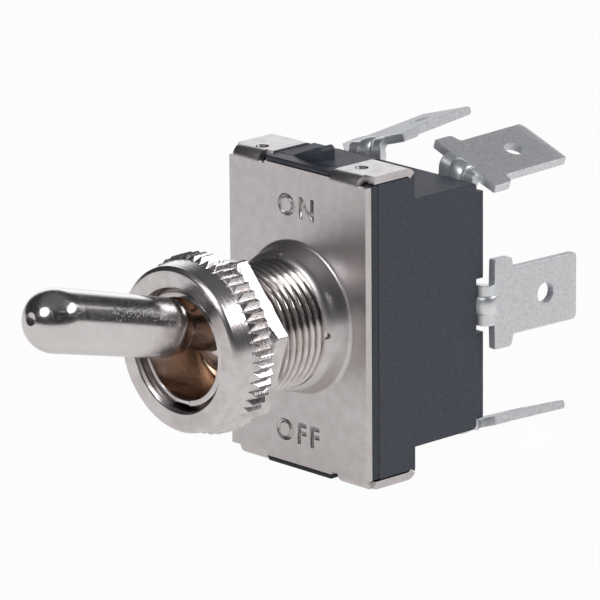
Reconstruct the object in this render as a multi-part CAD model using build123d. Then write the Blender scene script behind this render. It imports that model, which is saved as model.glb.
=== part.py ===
from build123d import *
from math import cos, pi, radians, sin, sqrt, tan
import os

# Panel toggle switch, double pole, with six quick-connect blades. Millimetres.
# +Z runs up the long axis of the case, the lever and its bushing point along -Y, the blades along +Y,
# and the origin is the centre of the front plate's front face, on the bushing's axis.

# Driving dimensions
# Front plate: pressed steel, with a drawn collar and four ears folded back over the case
PLATE_W = 17.74                 # full width, X
PLATE_H = 27.86                 # height of the front face between the ears, Z
PLATE_T = 0.72                  # sheet thickness
EAR_Z = PLATE_H / 2 + 0.67      # outer face of the folded ears, from the centre
EAR_X0 = 4.25                   # inner edge of each ear
EAR_BEND_R = 1.0                # outer radius of the fold between face and ear
EAR_FLAT_Y = 5.20               # where the straight part of the ear ends
CRIMP_R = 0.66                  # centre-line radius of the crimp at the ear's end
CRIMP_DEG = 50.0
CRIMP_L = 0.22                  # straight tip after the crimp
# relief slots beside each fold, as X ranges: the stamping repeats when it is turned half a turn
RELIEFS = {1: [(7.76, 9.5)], -1: [(-9.5, -8.40), (-5.10, -4.0)]}
EAR_PUNCHES = {1: (5.68, 2.68), -1: (-6.24, 1.66)}      # punch mark in each upper ear, X and Y
EAR_PUNCH_R, EAR_PUNCH_FLOOR_R, EAR_PUNCH_DEPTH = 0.64, 0.44, 0.22
COLLAR_FOOT_WALL, COLLAR_TOP_WALL = 1.017, 0.397    # drawn collar over the thread, at its foot and its front
COLLAR_H = 2.5
COLLAR_FOOT_R = 0.45
COLLAR_SHOULDER_R = 1.1

# Bushing: nickel-plated brass, 15/32-32 thread
THREAD_R = 5.953                # major radius
COLLAR_R, COLLAR_TOP_R = THREAD_R + COLLAR_FOOT_WALL, THREAD_R + COLLAR_TOP_WALL
BUSH_FRONT_Y = -14.25
BUSH_BORE_R = THREAD_R - 1.283  # wide bore behind the mouth
BUSH_RING_R = THREAD_R - 0.733  # outer radius of the flat ring at the mouth
BUSH_SEAT_Y = -8.3              # the wide bore ends here, with a cone down to the ball's bore
BUSH_FLANGE_R = THREAD_R + 1.397    # flange behind the plate
BUSH_FLANGE_T = 0.70
KEYWAY_W = 1.90
KEYWAY_DEPTH = 0.95
STAKE_R = 0.32                  # stake marks round the collar's rim
COLLAR_FIT = 0.02               # bushing in the plate's collar, radial

# Lever: plated brass, bat handle, tail and ball turned in one piece
PIVOT_Y = -7.0
TILT = 14.4                     # each side of the bushing's axis; the photo shows it tipped up
BALL_R = BUSH_BORE_R - 0.57
BALL_FIT = 0.07                 # ball in its bore, radial
BAT_TIP_R = 2.90
BAT_TIP_S = 22.94               # centre of the tip's ball, from the pivot
BAT_ROOT_R = 2.74
BAT_ROOT_S = 10.3               # where the handle starts to round off towards the neck
NECK_R = 1.85
TIP_DIMPLE_R = 0.55
NECK_S = 7.45                   # the neck is straight from here to the ball
BAT_VIA = (2.34, 8.35)          # radius and place of a point on the curve between handle and neck
TAIL_R = BALL_R - 2.80
TAIL_NECK_R = TAIL_R - 0.35
TAIL_BALL_R = TAIL_R + 0.10
TAIL_STEP_S0, TAIL_STEP_S1 = 11.9, 12.4     # cone from the tail to its neck
TAIL_S = 15.0                   # centre of the tail's ball, from the pivot
CUP_R, CUP_Y0, CUP_Y1 = BALL_R - 0.75, PIVOT_Y + 2.1, -1.0    # cup that backs the ball
PIN_R = 0.90                    # cross pin that the lever pivots on
PIN_FIT = 0.03
PIN_HALF_L = BALL_R + 1.0

# Nuts
FACE_NUT_Y0, FACE_NUT_Y1 = -14.90, -10.52
FACE_NUT_FLAT_R = THREAD_R + 1.347
FACE_NUT_BAND_R0, FACE_NUT_BAND_R1 = THREAD_R + 1.647, THREAD_R + 1.867
KNURL_Y0, KNURL_Y1 = -12.75, -10.75
KNURL_R = THREAD_R + 2.297
KNURL_ROOT_R = THREAD_R + 1.767
KNURL_TEETH = 52
NUT_LIP_R = THREAD_R - 0.193    # where the face nut's thread breaks out at its front face
NUT_FIT = 0.04                  # nut over the thread's crest, radial
HEX_AF = 2 * (THREAD_R + 1.047)
HEX_Y0, HEX_Y1 = -10.45, -8.65
HEX_TURN = 11.4                 # how far the nut has turned from a corner on +X

# Case: two black mouldings
SIDE_STEP = 0.04                # the case's side behind the plate's edge
CASE_W = PLATE_W - 2 * SIDE_STEP
COVER_Y0, COVER_Y1 = PLATE_T, 1.66
FLANGE_Z = PLATE_H / 2 - 0.18   # half height of the case's front flange
FLANGE_Y1 = 6.2
FLANGE_BEVEL = 0.25
CENTRE_X, CENTRE_Z = EAR_X0 - 0.10, PLATE_H / 2 + 0.52    # raised middle of the flange, between the ears
LIP_Y0, LIP_FIT = 0.06, 0.02        # the middle reaches forward over the plate's edge, nearly to its face
LUG_X, LUG_Y, LUG_RISE = (-2.3, 1.4), (1.85, 3.45), 1.5      # moulded lug on the top, ramped
BODY_Z = PLATE_H / 2 - 2.27     # half height behind the flange
BODY_Y1 = 14.05                 # rear face where the blades come out
RIM_Y1 = BODY_Y1 + 1.05         # raised pads of the rear face
RIM_Z0, RIM_Z1 = 2.55, BODY_Z - 0.91
RIM_BEVEL = 0.2
CAVITY_X, CAVITY_Z = CASE_W / 2 - 1.83, BODY_Z - 1.46
FLOOR_Y = 12.3                  # inner face of the rear wall
COVER_PLUG_Y = 3.2

# Terminals: tin-plated brass, 6.35 x 0.81 blades
BLADE_W0, BLADE_W1 = 6.35, 6.30
BLADE_T = 0.81
BLADE_L = 7.45
SHOULDER_W = 8.5
SHOULDER_L = 2.77
END_NECK_W, MIDDLE_NECK_W = 4.3, 3.85
BEAD_W, BEAD_RISE = 2.0, 0.40     # pressed bead that stiffens the bent neck
LEAD_IN_L, LEAD_IN_T = 0.55, 0.2
NECK_SECTIONS = 5
NECK_REACH = 0.07                # the bend starts and ends this far inside the foot and the blade
NECK_BEND = 1.6                  # how far each end of the neck runs on before it bends
BLADE_HOLE_R = 1.0
BLADE_HOLE_FROM_TIP = 4.0
BLADE_TIP_CORNER = 0.9
FOOT_W = 3.6
MIDDLE_X = CASE_W / 2 - 0.83    # where the middle blades' necks leave the case
END_X, END_Z = CASE_W / 2 - 2.93, BODY_Z - 0.86      # and the end blades' necks
# placement of each blade's root: X, Y, Z, then the turns about Z, X and Y, all on the right-hand side
MIDDLE_BLADE = (MIDDLE_X + 1.4, BODY_Y1 + 1.45, 0, -3.2, 0, 0)
END_BLADE = (END_X, BODY_Y1 + 1.38, END_Z + 1.55, -1.3, 1.9, 19.6)
# this one is bent a little further up
TOP_LEFT_BLADE = (END_X, BODY_Y1 + 1.25, END_Z + 1.65, -0.6, 5.5, 17.0)
SLOT_FIT = 0.04

# Contacts inside
CONTACT_X = CAVITY_X - 1.6
CONTACT_PITCH = 2 * TAIL_S * sin(radians(TILT))     # equals the carriage's travel
STUD_HEAD_R, STUD_HEAD_H, STUD_SHANK_R = 1.30, 0.68, 0.60
CONTACT_GAP = 0.02
CARRIAGE_X, CARRIAGE_Z = CAVITY_X - 0.25, 6.1
CARRIAGE_Y0, CARRIAGE_Y1 = 6.6, 10.9
CARRIAGE_FIT = 0.06
BRIDGE_T, BRIDGE_W, BRIDGE_HALF_L = 0.55, 2.3, 4.9
PAD_R = 1.05
LEAF_T, LEAF_W, LEAF_HALF_L, LEAF_RISE = 0.22, 1.8, 3.0, 0.75


BEYOND = 40                     # a cut's reach past every part


# Helpers
def box(x0, x1, y0, y1, z0, z1):
    """A box given by its limits."""
    return Pos((x0 + x1) / 2, (y0 + y1) / 2, (z0 + z1) / 2) * Box(x1 - x0, y1 - y0, z1 - z0)


def along_y(radius, y0, y1, x=0.0, z=0.0):
    """A round bar along Y from y0 to y1."""
    return Pos(x, (y0 + y1) / 2, z) * Rot(90, 0, 0) * Cylinder(radius, y1 - y0)


def turned(*points):
    """Revolve a closed outline of (radius, y) points about the Y axis."""
    outline = make_face(Polyline(*[(r, y, 0) for r, y in points], close=True))
    return revolve(outline, Axis.Y, 360)


def four_ways(shape):
    """The shape and its mirror images across X = 0 and Z = 0, as one list."""
    left = mirror(shape, Plane.YZ)
    return [shape, left, mirror(shape, Plane.XY), mirror(left, Plane.XY)]


def both_sides(shape):
    return [shape, mirror(shape, Plane.YZ)]


def solid_of(shape):
    """The single solid of a shape that has exactly one."""
    solids = shape.solids()
    if len(solids) != 1:
        raise ValueError(f"expected one solid, found {len(solids)}")
    return solids[0]


# Front plate
def ear_path():
    """Centre line of the folded sheet in the plane X = 0: up the face, back along the ear, down the crimp."""
    mid = PLATE_T / 2
    corner = CRIMP_R * tan(radians(CRIMP_DEG / 2))
    end_y, end_z = EAR_FLAT_Y + corner, EAR_Z - mid
    tip_l = CRIMP_L + corner
    tip = (0, end_y + tip_l * cos(radians(CRIMP_DEG)), end_z - tip_l * sin(radians(CRIMP_DEG)))
    return FilletPolyline((0, mid, PLATE_H / 2 - 3), (0, mid, end_z), (0, end_y, end_z), tip,
                          radius=[EAR_BEND_R - mid, CRIMP_R])


def ear_tip(depth, beyond=0.0):
    """A point of the crimped end as (Y, Z): depth below the outer face, beyond the cut end."""
    a = radians(CRIMP_DEG)
    r = CRIMP_R + PLATE_T / 2 - depth
    along = CRIMP_L + beyond
    return (EAR_FLAT_Y + r * sin(a) + along * cos(a),
            EAR_Z - PLATE_T / 2 - CRIMP_R + r * cos(a) - along * sin(a))


def upper_ear(side):
    """Upper ear at the side's sign of X, with its relief slots and punch mark."""
    path = ear_path()
    start = Plane(origin=path @ 0, z_dir=path % 0, x_dir=(1, 0, 0))
    strip = sweep(start * Rectangle(PLATE_W / 2 - EAR_X0, PLATE_T), path)
    strip = Pos(side * (EAR_X0 + PLATE_W / 2) / 2, 0, 0) * strip
    for x0, x1 in RELIEFS[side]:
        strip -= box(x0, x1, -1, 1.15, PLATE_H / 2 - 0.25, EAR_Z + 1)
    x, y = EAR_PUNCHES[side]
    return strip - Pos(x, y, EAR_Z - EAR_PUNCH_DEPTH / 2) * Cone(EAR_PUNCH_FLOOR_R, EAR_PUNCH_R, EAR_PUNCH_DEPTH)


def front_plate():
    plate = box(-PLATE_W / 2, PLATE_W / 2, 0, PLATE_T, -PLATE_H / 2, PLATE_H / 2)
    # the face stops short under each fold, where the ear's own strip carries on
    plate -= four_ways(box(EAR_X0, PLATE_W, -1, PLATE_T + 1, PLATE_H / 2 - 2.5, PLATE_H))
    uppers = [upper_ear(1), upper_ear(-1)]
    plate += uppers + [Rot(0, 180, 0) * e for e in uppers]
    collar = turned((0, PLATE_T), (COLLAR_R, PLATE_T), (COLLAR_R, 0), (COLLAR_TOP_R, -COLLAR_H), (0, -COLLAR_H))
    rim = collar.edges().filter_by(GeomType.CIRCLE).sort_by(Axis.Y)[0:1]
    plate += fillet(rim, COLLAR_SHOULDER_R)
    foot = [e for e in plate.edges().filter_by(GeomType.CIRCLE)
            if abs(e.radius - COLLAR_R) < 0.01 and abs(e.center().Y) < 0.01]
    plate = fillet(foot, COLLAR_FOOT_R)
    plate = plate - along_y(THREAD_R + COLLAR_FIT, -COLLAR_H - 1, PLATE_T + 1)
    for turn in (0, 90, 180, 270):
        plate = plate - Rot(0, turn, 0) * along_y(STAKE_R, -COLLAR_H - 1, -COLLAR_H + 0.5, x=THREAD_R + 0.15)
    return solid_of(plate)


# Bushing and what it holds
def threaded_bushing():
    mouth = THREAD_R - BUSH_RING_R
    body = turned(
        (BUSH_BORE_R, BUSH_FRONT_Y), (BUSH_RING_R, BUSH_FRONT_Y), (THREAD_R, BUSH_FRONT_Y + mouth),
        (THREAD_R, PLATE_T), (BUSH_FLANGE_R, PLATE_T), (BUSH_FLANGE_R, PLATE_T + BUSH_FLANGE_T),
        (BALL_R + BALL_FIT, PLATE_T + BUSH_FLANGE_T), (BALL_R + BALL_FIT, BUSH_SEAT_Y + 0.5),
        (BUSH_BORE_R, BUSH_SEAT_Y),
    )
    keyway = box(-KEYWAY_W / 2, KEYWAY_W / 2, BUSH_FRONT_Y - 1, -COLLAR_H - 0.6,
                 -THREAD_R - 1, -THREAD_R + KEYWAY_DEPTH)
    groove_r = PIN_R + 0.02
    groove = box(0, PIN_HALF_L + 0.06, PIVOT_Y, BEYOND, -groove_r, groove_r)
    groove += Pos((PIN_HALF_L + 0.06) / 2, PIVOT_Y, 0) * Rot(0, 90, 0) * Cylinder(groove_r, PIN_HALF_L + 0.06)
    return solid_of(body - keyway - both_sides(groove))


def lever_pivot_pin():
    pin = Pos(0, PIVOT_Y, 0) * Rot(0, 90, 0) * Cylinder(PIN_R, 2 * PIN_HALF_L)
    return solid_of(chamfer(pin.edges().filter_by(GeomType.CIRCLE), 0.15))


def lever_ball_seat():
    """The cup behind the ball: it keeps the ball and its pin forward in the bushing."""
    outer = BALL_R + BALL_FIT - 0.02
    cup = turned((CUP_R, CUP_Y0), (outer, CUP_Y0), (outer, CUP_Y1), (CUP_R, CUP_Y1))
    ball = Pos(0, PIVOT_Y, 0) * Sphere(BALL_R + 0.05)
    return solid_of(cup - ball)


def on_lever(shape):
    """Turn a shape drawn straight along -Y from the pivot to the lever's place, tipped up."""
    return Pos(0, PIVOT_Y, 0) * Rot(-TILT, 0, 0) * shape


def toggle_lever():
    """Bat, neck, ball and tail, one revolved outline with s measured from the pivot towards the tip."""
    def rs(r, s):
        return (r, -s, 0)
    tip = BAT_TIP_S + BAT_TIP_R
    ball_neck = sqrt(BALL_R**2 - NECK_R**2)
    ball_tail = sqrt(BALL_R**2 - TAIL_R**2)
    tail_neck = TAIL_S - sqrt(TAIL_BALL_R**2 - TAIL_NECK_R**2)
    outline = [
        Line(rs(0, tip - 0.16), rs(TIP_DIMPLE_R * 0.55, tip - 0.16)),
        Line(rs(TIP_DIMPLE_R * 0.55, tip - 0.16), rs(TIP_DIMPLE_R, tip - 0.053)),
        RadiusArc(rs(TIP_DIMPLE_R, tip - 0.053), rs(BAT_TIP_R, BAT_TIP_S), -BAT_TIP_R),
        Line(rs(BAT_TIP_R, BAT_TIP_S), rs(BAT_ROOT_R, BAT_ROOT_S)),
        Spline(rs(BAT_ROOT_R, BAT_ROOT_S), rs(*BAT_VIA), rs(NECK_R, NECK_S),
               tangents=[(-0.013, 1, 0), (-1.0, 0.55, 0)]),
        Line(rs(NECK_R, NECK_S), rs(NECK_R, ball_neck)),
        ThreePointArc(rs(NECK_R, ball_neck), rs(BALL_R, 0), rs(TAIL_R, -ball_tail)),
        Line(rs(TAIL_R, -ball_tail), rs(TAIL_R, -TAIL_STEP_S0)),
        Line(rs(TAIL_R, -TAIL_STEP_S0), rs(TAIL_NECK_R, -TAIL_STEP_S1)),
        Line(rs(TAIL_NECK_R, -TAIL_STEP_S1), rs(TAIL_NECK_R, -tail_neck)),
        ThreePointArc(rs(TAIL_NECK_R, -tail_neck), rs(TAIL_BALL_R, -TAIL_S), rs(0, -TAIL_S - TAIL_BALL_R)),
        Line(rs(0, -TAIL_S - TAIL_BALL_R), rs(0, tip - 0.16)),
    ]
    face = make_face(Curve() + outline)
    lever = revolve(face, Axis.Y, 360)
    lever = lever - Rot(0, 90, 0) * Cylinder(PIN_R + PIN_FIT, BEYOND)
    return solid_of(on_lever(lever))


# Nuts
def knurled_face_nut():
    """Round nut with a plain tapered band and straight knurling, its teeth cut by a ring of V grooves."""
    bore = THREAD_R + NUT_FIT
    blank = turned(
        (NUT_LIP_R, FACE_NUT_Y0), (FACE_NUT_FLAT_R, FACE_NUT_Y0), (FACE_NUT_BAND_R0, FACE_NUT_Y0 + 0.30),
        (FACE_NUT_BAND_R1, KNURL_Y0), (KNURL_R, KNURL_Y0 + 0.55), (KNURL_R, KNURL_Y1),
        (KNURL_ROOT_R, FACE_NUT_Y1), (bore, FACE_NUT_Y1), (bore, BUSH_FRONT_Y - 0.12),
        (NUT_LIP_R, BUSH_FRONT_Y - 0.12 - (bore - NUT_LIP_R)),
    )
    half = pi * KNURL_R / KNURL_TEETH
    groove = Pos(0, 0, 0) * make_face(Polyline(
        (KNURL_ROOT_R, 0, 0), (KNURL_R + 0.3, 0, half * 1.45), (KNURL_R + 0.3, 0, -half * 1.45), close=True))
    groove = extrude(groove, KNURL_Y1 - KNURL_Y0 + 3, dir=(0, 1, 0))
    groove = Pos(0, KNURL_Y0 - 0.2, 0) * groove
    cuts = [Rot(0, 360 * i / KNURL_TEETH, 0) * groove for i in range(KNURL_TEETH)]
    return solid_of(blank - cuts)


def hex_back_nut():
    corner = HEX_AF / sqrt(3)
    prism = extrude(Plane.XZ * RegularPolygon(corner, 6), HEX_Y1 - HEX_Y0)
    prism = Pos(0, HEX_Y1, 0) * prism if prism.bounding_box().min.Y < -0.1 else Pos(0, HEX_Y0, 0) * prism
    prism = Rot(0, -HEX_TURN, 0) * prism
    # the front corners are turned off at 30 degrees
    cone = turned((0, HEX_Y0), (HEX_AF / 2 - 0.1, HEX_Y0), (HEX_AF / 2 + 1.9, HEX_Y0 + 2.0 * tan(radians(30))),
                  (HEX_AF / 2 + 1.9, HEX_Y1), (0, HEX_Y1))
    nut = (prism & cone) - along_y(THREAD_R + NUT_FIT, HEX_Y0 - 1, HEX_Y1 + 1)
    return solid_of(nut)


# Case
def front_insulator():
    """The black front moulding: a thin plate between the steel and the case, with a plug and a spigot."""
    hx = CASE_W / 2
    cover = box(-hx, hx, COVER_Y0, COVER_Y1, -FLANGE_Z, FLANGE_Z)
    # room for the inside of the plate's folds
    cover = chamfer(cover.faces().sort_by(Axis.Y)[0].edges().filter_by(Axis.X), 0.32)
    cover += box(-CENTRE_X, CENTRE_X, COVER_Y0, COVER_Y1, -CENTRE_Z, CENTRE_Z)
    lip = box(-CENTRE_X, CENTRE_X, LIP_Y0, COVER_Y1, PLATE_H / 2 + LIP_FIT, CENTRE_Z)
    lip = fillet(lip.edges().filter_by(Axis.X).sort_by(Axis.Y)[:2].sort_by(Axis.Z)[-1:], 0.2)
    cover += [lip, mirror(lip, Plane.XY)]
    cover += box(-CAVITY_X + 0.1, CAVITY_X - 0.1, COVER_Y1 - 0.2, COVER_PLUG_Y, -CAVITY_Z + 0.1, CAVITY_Z - 0.1)
    cover -= along_y(BUSH_FLANGE_R + 0.05, COVER_Y0 - 1, PLATE_T + BUSH_FLANGE_T)
    spigot = BALL_R + BALL_FIT - 0.02
    cover += along_y(spigot, -1.0, COVER_Y1)
    cover -= turned((0, -1.5), (spigot - 0.8, -1.5), (spigot - 0.6, 0.6), (spigot + 0.2, COVER_PLUG_Y + 0.2),
                    (0, COVER_PLUG_Y + 0.2))
    # the bushing's pin grooves are open at the back; the spigot only passes inside them
    return solid_of(cover)


def flange_side():
    """Half of the case's side outline, (Y, Z) with Z up: the groove takes the plate's crimped ear ends."""
    z = FLANGE_Z
    inner, outer = ear_tip(PLATE_T, 0.05), ear_tip(0, 0.05)
    wrap = ear_tip(PLATE_T, -CRIMP_L)
    return [
        (COVER_Y1, z), (EAR_FLAT_Y - 0.05, z), (wrap[0] - 0.04, wrap[1] - 0.05),
        (inner[0] - 0.06, inner[1] - 0.04), (inner[0] + 0.02, inner[1] - 0.03),
        (outer[0] + 0.02, outer[1] - 0.08), (FLANGE_Y1, z - FLANGE_BEVEL), (FLANGE_Y1, BODY_Z), (BODY_Y1, BODY_Z),
    ]


def case():
    hx = CASE_W / 2
    up = flange_side()
    side = make_face(Polyline(*[(0, y, zz) for y, zz in up], *[(0, y, -zz) for y, zz in reversed(up)], close=True))
    shell = extrude(side, hx, dir=(1, 0, 0), both=True)
    shell = fillet(shell.edges().filter_by(Axis.X).group_by(Axis.Y)[-1], 0.45)
    # raised middle of the flange, with a ramped lug on the upper one
    shell += box(-CENTRE_X, CENTRE_X, COVER_Y1, FLANGE_Y1, -CENTRE_Z, CENTRE_Z)
    lug = make_face(Polyline((LUG_X[0], 0, CENTRE_Z - 0.3), (LUG_X[0], 0, CENTRE_Z + 0.02),
                             (LUG_X[1], 0, CENTRE_Z + LUG_RISE), (LUG_X[1], 0, CENTRE_Z - 0.3), close=True))
    lug = Pos(0, LUG_Y[0], 0) * extrude(lug, LUG_Y[1] - LUG_Y[0], dir=(0, 1, 0))
    shell += fillet(lug.edges().filter_by(Axis.Y).sort_by(Axis.Z)[-1:], 0.45)
    for s in (1, -1):
        zs = sorted((s * RIM_Z0, s * RIM_Z1))
        pad = box(-hx, hx, BODY_Y1 - 1, RIM_Y1, *zs)
        shell += chamfer(pad.faces().sort_by(Axis.Y)[-1].edges(), RIM_BEVEL)
    # cavity with a pocket beside each neck, so that the terminals drop in from the front
    shell -= box(-CAVITY_X, CAVITY_X, COVER_Y1 - 1, FLOOR_Y, -CAVITY_Z, CAVITY_Z)
    foot_y = FLOOR_Y + BLADE_T
    t = BLADE_T / 2 + SLOT_FIT
    foot_x0, foot_x1 = CONTACT_X - FOOT_W / 2 + 0.1, MIDDLE_X + t
    lane = box(foot_x0 - SLOT_FIT, foot_x1, FLOOR_Y - 1, foot_y, -FOOT_W / 2 - SLOT_FIT, FOOT_W / 2 + SLOT_FIT)
    half_w = MIDDLE_NECK_W / 2 + SLOT_FIT
    pocket = box(CAVITY_X - 0.5, MIDDLE_X + t, COVER_Y1 - 1, foot_y, -half_w, half_w)
    slot = box(MIDDLE_X - t, MIDDLE_X + t, foot_y - 1, RIM_Y1 + 1, -half_w, half_w)
    for cut in (lane, pocket, slot):
        shell -= both_sides(cut)
    x0, x1 = END_X - END_NECK_W / 2 - SLOT_FIT, END_X + END_NECK_W / 2 + SLOT_FIT
    end_pocket = box(x0, x1, COVER_Y1 - 1, foot_y, CAVITY_Z - 0.5, END_Z + t)
    end_slot = box(x0, x1, foot_y - 1, RIM_Y1 + 1, END_Z - t, END_Z + t)
    end_lane = box(CONTACT_X - FOOT_W / 2 - SLOT_FIT, CONTACT_X + FOOT_W / 2 + SLOT_FIT, FLOOR_Y - 1, foot_y,
                   CONTACT_PITCH - FOOT_W / 2 - SLOT_FIT, END_Z + t)
    for cut in (end_pocket, end_slot, end_lane):
        shell -= four_ways(cut)
    return solid_of(shell)


# Terminals
def blade_outline():
    """Blade, step and shoulder in the XY plane: +Y to the tip, Y = 0 at the shoulder's rear edge."""
    hw, sh = BLADE_W0 / 2, SHOULDER_W / 2
    tip_y = SHOULDER_L + BLADE_L
    half = [
        (0, 0), (sh - 0.7, 0), (sh, 0.7), (sh, SHOULDER_L - 0.9), (sh - 0.75, SHOULDER_L - 0.1),
        (hw, SHOULDER_L + 0.25), (BLADE_W1 / 2, tip_y - BLADE_TIP_CORNER), (BLADE_W1 / 2 - BLADE_TIP_CORNER, tip_y),
        (0, tip_y),
    ]
    right = Polyline(*half)
    left = Polyline(*[(-x, y) for x, y in half])
    return make_face(Curve() + [right, left])


def blade():
    """The flat part of a terminal with its detent hole, lead-in chamfers and rounded corners."""
    tip_y = SHOULDER_L + BLADE_L
    flat = extrude(blade_outline(), BLADE_T / 2, both=True)
    corners = [e for e in flat.edges().filter_by(Axis.Z)
               if abs(abs(e.center().X) - SHOULDER_W / 2) < 0.8 and e.center().Y < SHOULDER_L]
    flat = fillet(corners, 0.35)
    for turn in (0, 180):
        wedge = Polyline((0, tip_y - LEAD_IN_L, BLADE_T / 2),
                         (0, tip_y + 1, BLADE_T / 2 - LEAD_IN_T * (1 + 1 / LEAD_IN_L)),
                         (0, tip_y + 1, BLADE_T), (0, tip_y - LEAD_IN_L, BLADE_T), close=True)
        flat -= Rot(0, turn, 0) * extrude(make_face(wedge), SHOULDER_W, dir=(1, 0, 0), both=True)
    return flat - Pos(0, tip_y - BLADE_HOLE_FROM_TIP, 0) * Cylinder(BLADE_HOLE_R, BEYOND)


def bent_neck(root, end, width):
    """
    Strip between two locations whose Y axes run along it: an S bend, turned a little more at each section.
    It reaches into the foot and the blade, and its two ends taper inside them.
    """
    a, b = Plane(root), Plane(end)
    start, stop = a.origin - a.y_dir * NECK_REACH, b.origin + b.y_dir * NECK_REACH
    path = Spline(start, stop, tangents=(a.y_dir, b.y_dir), tangent_scalars=(NECK_BEND, NECK_BEND))
    frames = [(a.origin - a.y_dir * 0.4, a.y_dir, a.x_dir, 0.3)]
    for i in range(NECK_SECTIONS + 1):
        t = i / NECK_SECTIONS
        frames.append((path @ t, path % t, a.x_dir * (1 - t) + b.x_dir * t, 0.01))
    frames.append((b.origin + b.y_dir * 0.4, b.y_dir, b.x_dir, 0.3))
    return loft([Plane(origin=o, x_dir=x, z_dir=d) * Rectangle(width - less, BLADE_T - less)
                 for o, d, x, less in frames], ruled=True)


def bead(root, end):
    """Pressed bead: a low round back along the sloping neck, with a round nose in the blade's root."""
    radius = (BEAD_W**2 / 4 + BEAD_RISE**2) / (2 * BEAD_RISE)
    lift = BLADE_T / 2 + BEAD_RISE - radius
    rise = end.position - root.position
    slope = Plane(origin=root.position + rise * 0.5, x_dir=Plane(root).x_dir + Plane(end).x_dir, z_dir=-rise)
    run = rise.length + 0.5
    back = Pos(0, lift, 0) * Cylinder(radius, run) + Pos(0, lift, -run / 2) * Sphere(radius)
    keep = Pos(0, BLADE_T + 0.29, 0) * Box(2 * BEAD_W, 5 * BEAD_RISE, BEYOND)
    # only outside the case
    return slope * (back & keep) - box(-BEYOND, BEYOND, 0, BODY_Y1 + 0.02, -BEYOND, BEYOND)


def terminal(foot_end, root, end, neck_w):
    """One bent strip: foot on the case's floor, neck through the rear wall, S bend, blade."""
    strip = foot_end + bent_neck(root, end, neck_w)
    return strip + end * blade() + bead(root, end)


def foot(along, neck_w, stud_x, stud_z):
    """The strip's inner end on the floor, from the neck to past its contact stud."""
    y0, y1 = FLOOR_Y, FLOOR_Y + BLADE_T
    t = BLADE_T / 2
    if along == "x":
        plate = box(stud_x - FOOT_W / 2 + 0.1, MIDDLE_X + t, y0, y1, -FOOT_W / 2, FOOT_W / 2)
        plate += box(MIDDLE_X - t, MIDDLE_X + t, y0, BODY_Y1, -neck_w / 2, neck_w / 2)
    else:
        plate = box(stud_x - FOOT_W / 2, stud_x + FOOT_W / 2, y0, y1, stud_z - FOOT_W / 2, END_Z + t)
        plate += box(END_X - neck_w / 2, END_X + neck_w / 2, y0, BODY_Y1, END_Z - t, END_Z + t)
    return plate - along_y(STUD_SHANK_R, y0 - 1, y1 + 1, x=stud_x, z=stud_z)


def placed(x, y, z, yaw, pitch, roll):
    return Pos(x, y, z) * Rot(0, 0, yaw) * Rot(pitch, 0, 0) * Rot(0, roll, 0)


def middle_terminal():
    """Right-hand middle blade: upright, joggled outwards past the case's side."""
    upright = Rot(0, 90, 0)
    inner = foot("x", MIDDLE_NECK_W, CONTACT_X, 0)
    return solid_of(terminal(inner, Pos(MIDDLE_X, BODY_Y1, 0) * upright, placed(*MIDDLE_BLADE) * upright,
                             MIDDLE_NECK_W))


def end_terminal(blade_place):
    """Right-hand top blade: joggled upwards, then flat and twisted with its outer side low."""
    inner = foot("z", END_NECK_W, CONTACT_X, CONTACT_PITCH)
    return solid_of(terminal(inner, Pos(END_X, BODY_Y1, END_Z), placed(*blade_place), END_NECK_W))


# Contacts
def contact_stud(x, z):
    """Round-headed contact riveted through a terminal's foot."""
    head = along_y(STUD_HEAD_R, FLOOR_Y - STUD_HEAD_H, FLOOR_Y, x=x, z=z)
    head = chamfer(head.edges().filter_by(GeomType.CIRCLE).sort_by(Axis.Y)[0:1], 0.2)
    return solid_of(head + along_y(STUD_SHANK_R, FLOOR_Y - 0.1, FLOOR_Y + BLADE_T, x=x, z=z))


def slide_z():
    """The carriage's centre with the lever tipped up: the tail is down."""
    return -TAIL_S * sin(radians(TILT))


def slide_carriage():
    """Moulded carriage: a slot for the lever's tail in front, and two pockets for the contacts behind."""
    z0 = slide_z()
    body = box(-CARRIAGE_X, CARRIAGE_X, CARRIAGE_Y0, CARRIAGE_Y1, z0 - CARRIAGE_Z, z0 + CARRIAGE_Z)
    body = chamfer(body.edges().filter_by(Axis.X), 0.4)
    grip = TAIL_BALL_R + CARRIAGE_FIT
    body -= box(-2.4, 2.4, CARRIAGE_Y0 - 1, PIVOT_Y + TAIL_S + TAIL_BALL_R + 0.2, z0 - grip, z0 + grip)
    stud_face = FLOOR_Y - STUD_HEAD_H - CONTACT_GAP
    pad_face = stud_face
    back = pad_face - 0.45 - BRIDGE_T
    pocket = box(CONTACT_X - BRIDGE_W / 2 - 0.08, CARRIAGE_X + 1, back - LEAF_RISE - LEAF_T, CARRIAGE_Y1 + 1,
                 z0 - BRIDGE_HALF_L - 0.08, z0 + BRIDGE_HALF_L + 0.08)
    body -= both_sides(pocket)
    return solid_of(body)


def bridge_contact():
    """Right-hand moving contact: a flat bar with a pad at each end that bridges two studs."""
    z0 = slide_z()
    face = FLOOR_Y - STUD_HEAD_H - CONTACT_GAP
    bar = box(CONTACT_X - BRIDGE_W / 2, CONTACT_X + BRIDGE_W / 2, face - 0.45 - BRIDGE_T, face - 0.45,
              z0 - BRIDGE_HALF_L, z0 + BRIDGE_HALF_L)
    bar = fillet(bar.edges().filter_by(Axis.Y), 0.6)
    for s in (1, -1):
        pad = along_y(PAD_R, face - 0.5, face, x=CONTACT_X, z=z0 + s * CONTACT_PITCH / 2)
        bar += chamfer(pad.edges().filter_by(GeomType.CIRCLE).sort_by(Axis.Y)[-1:], 0.15)
    return solid_of(bar)


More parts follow.
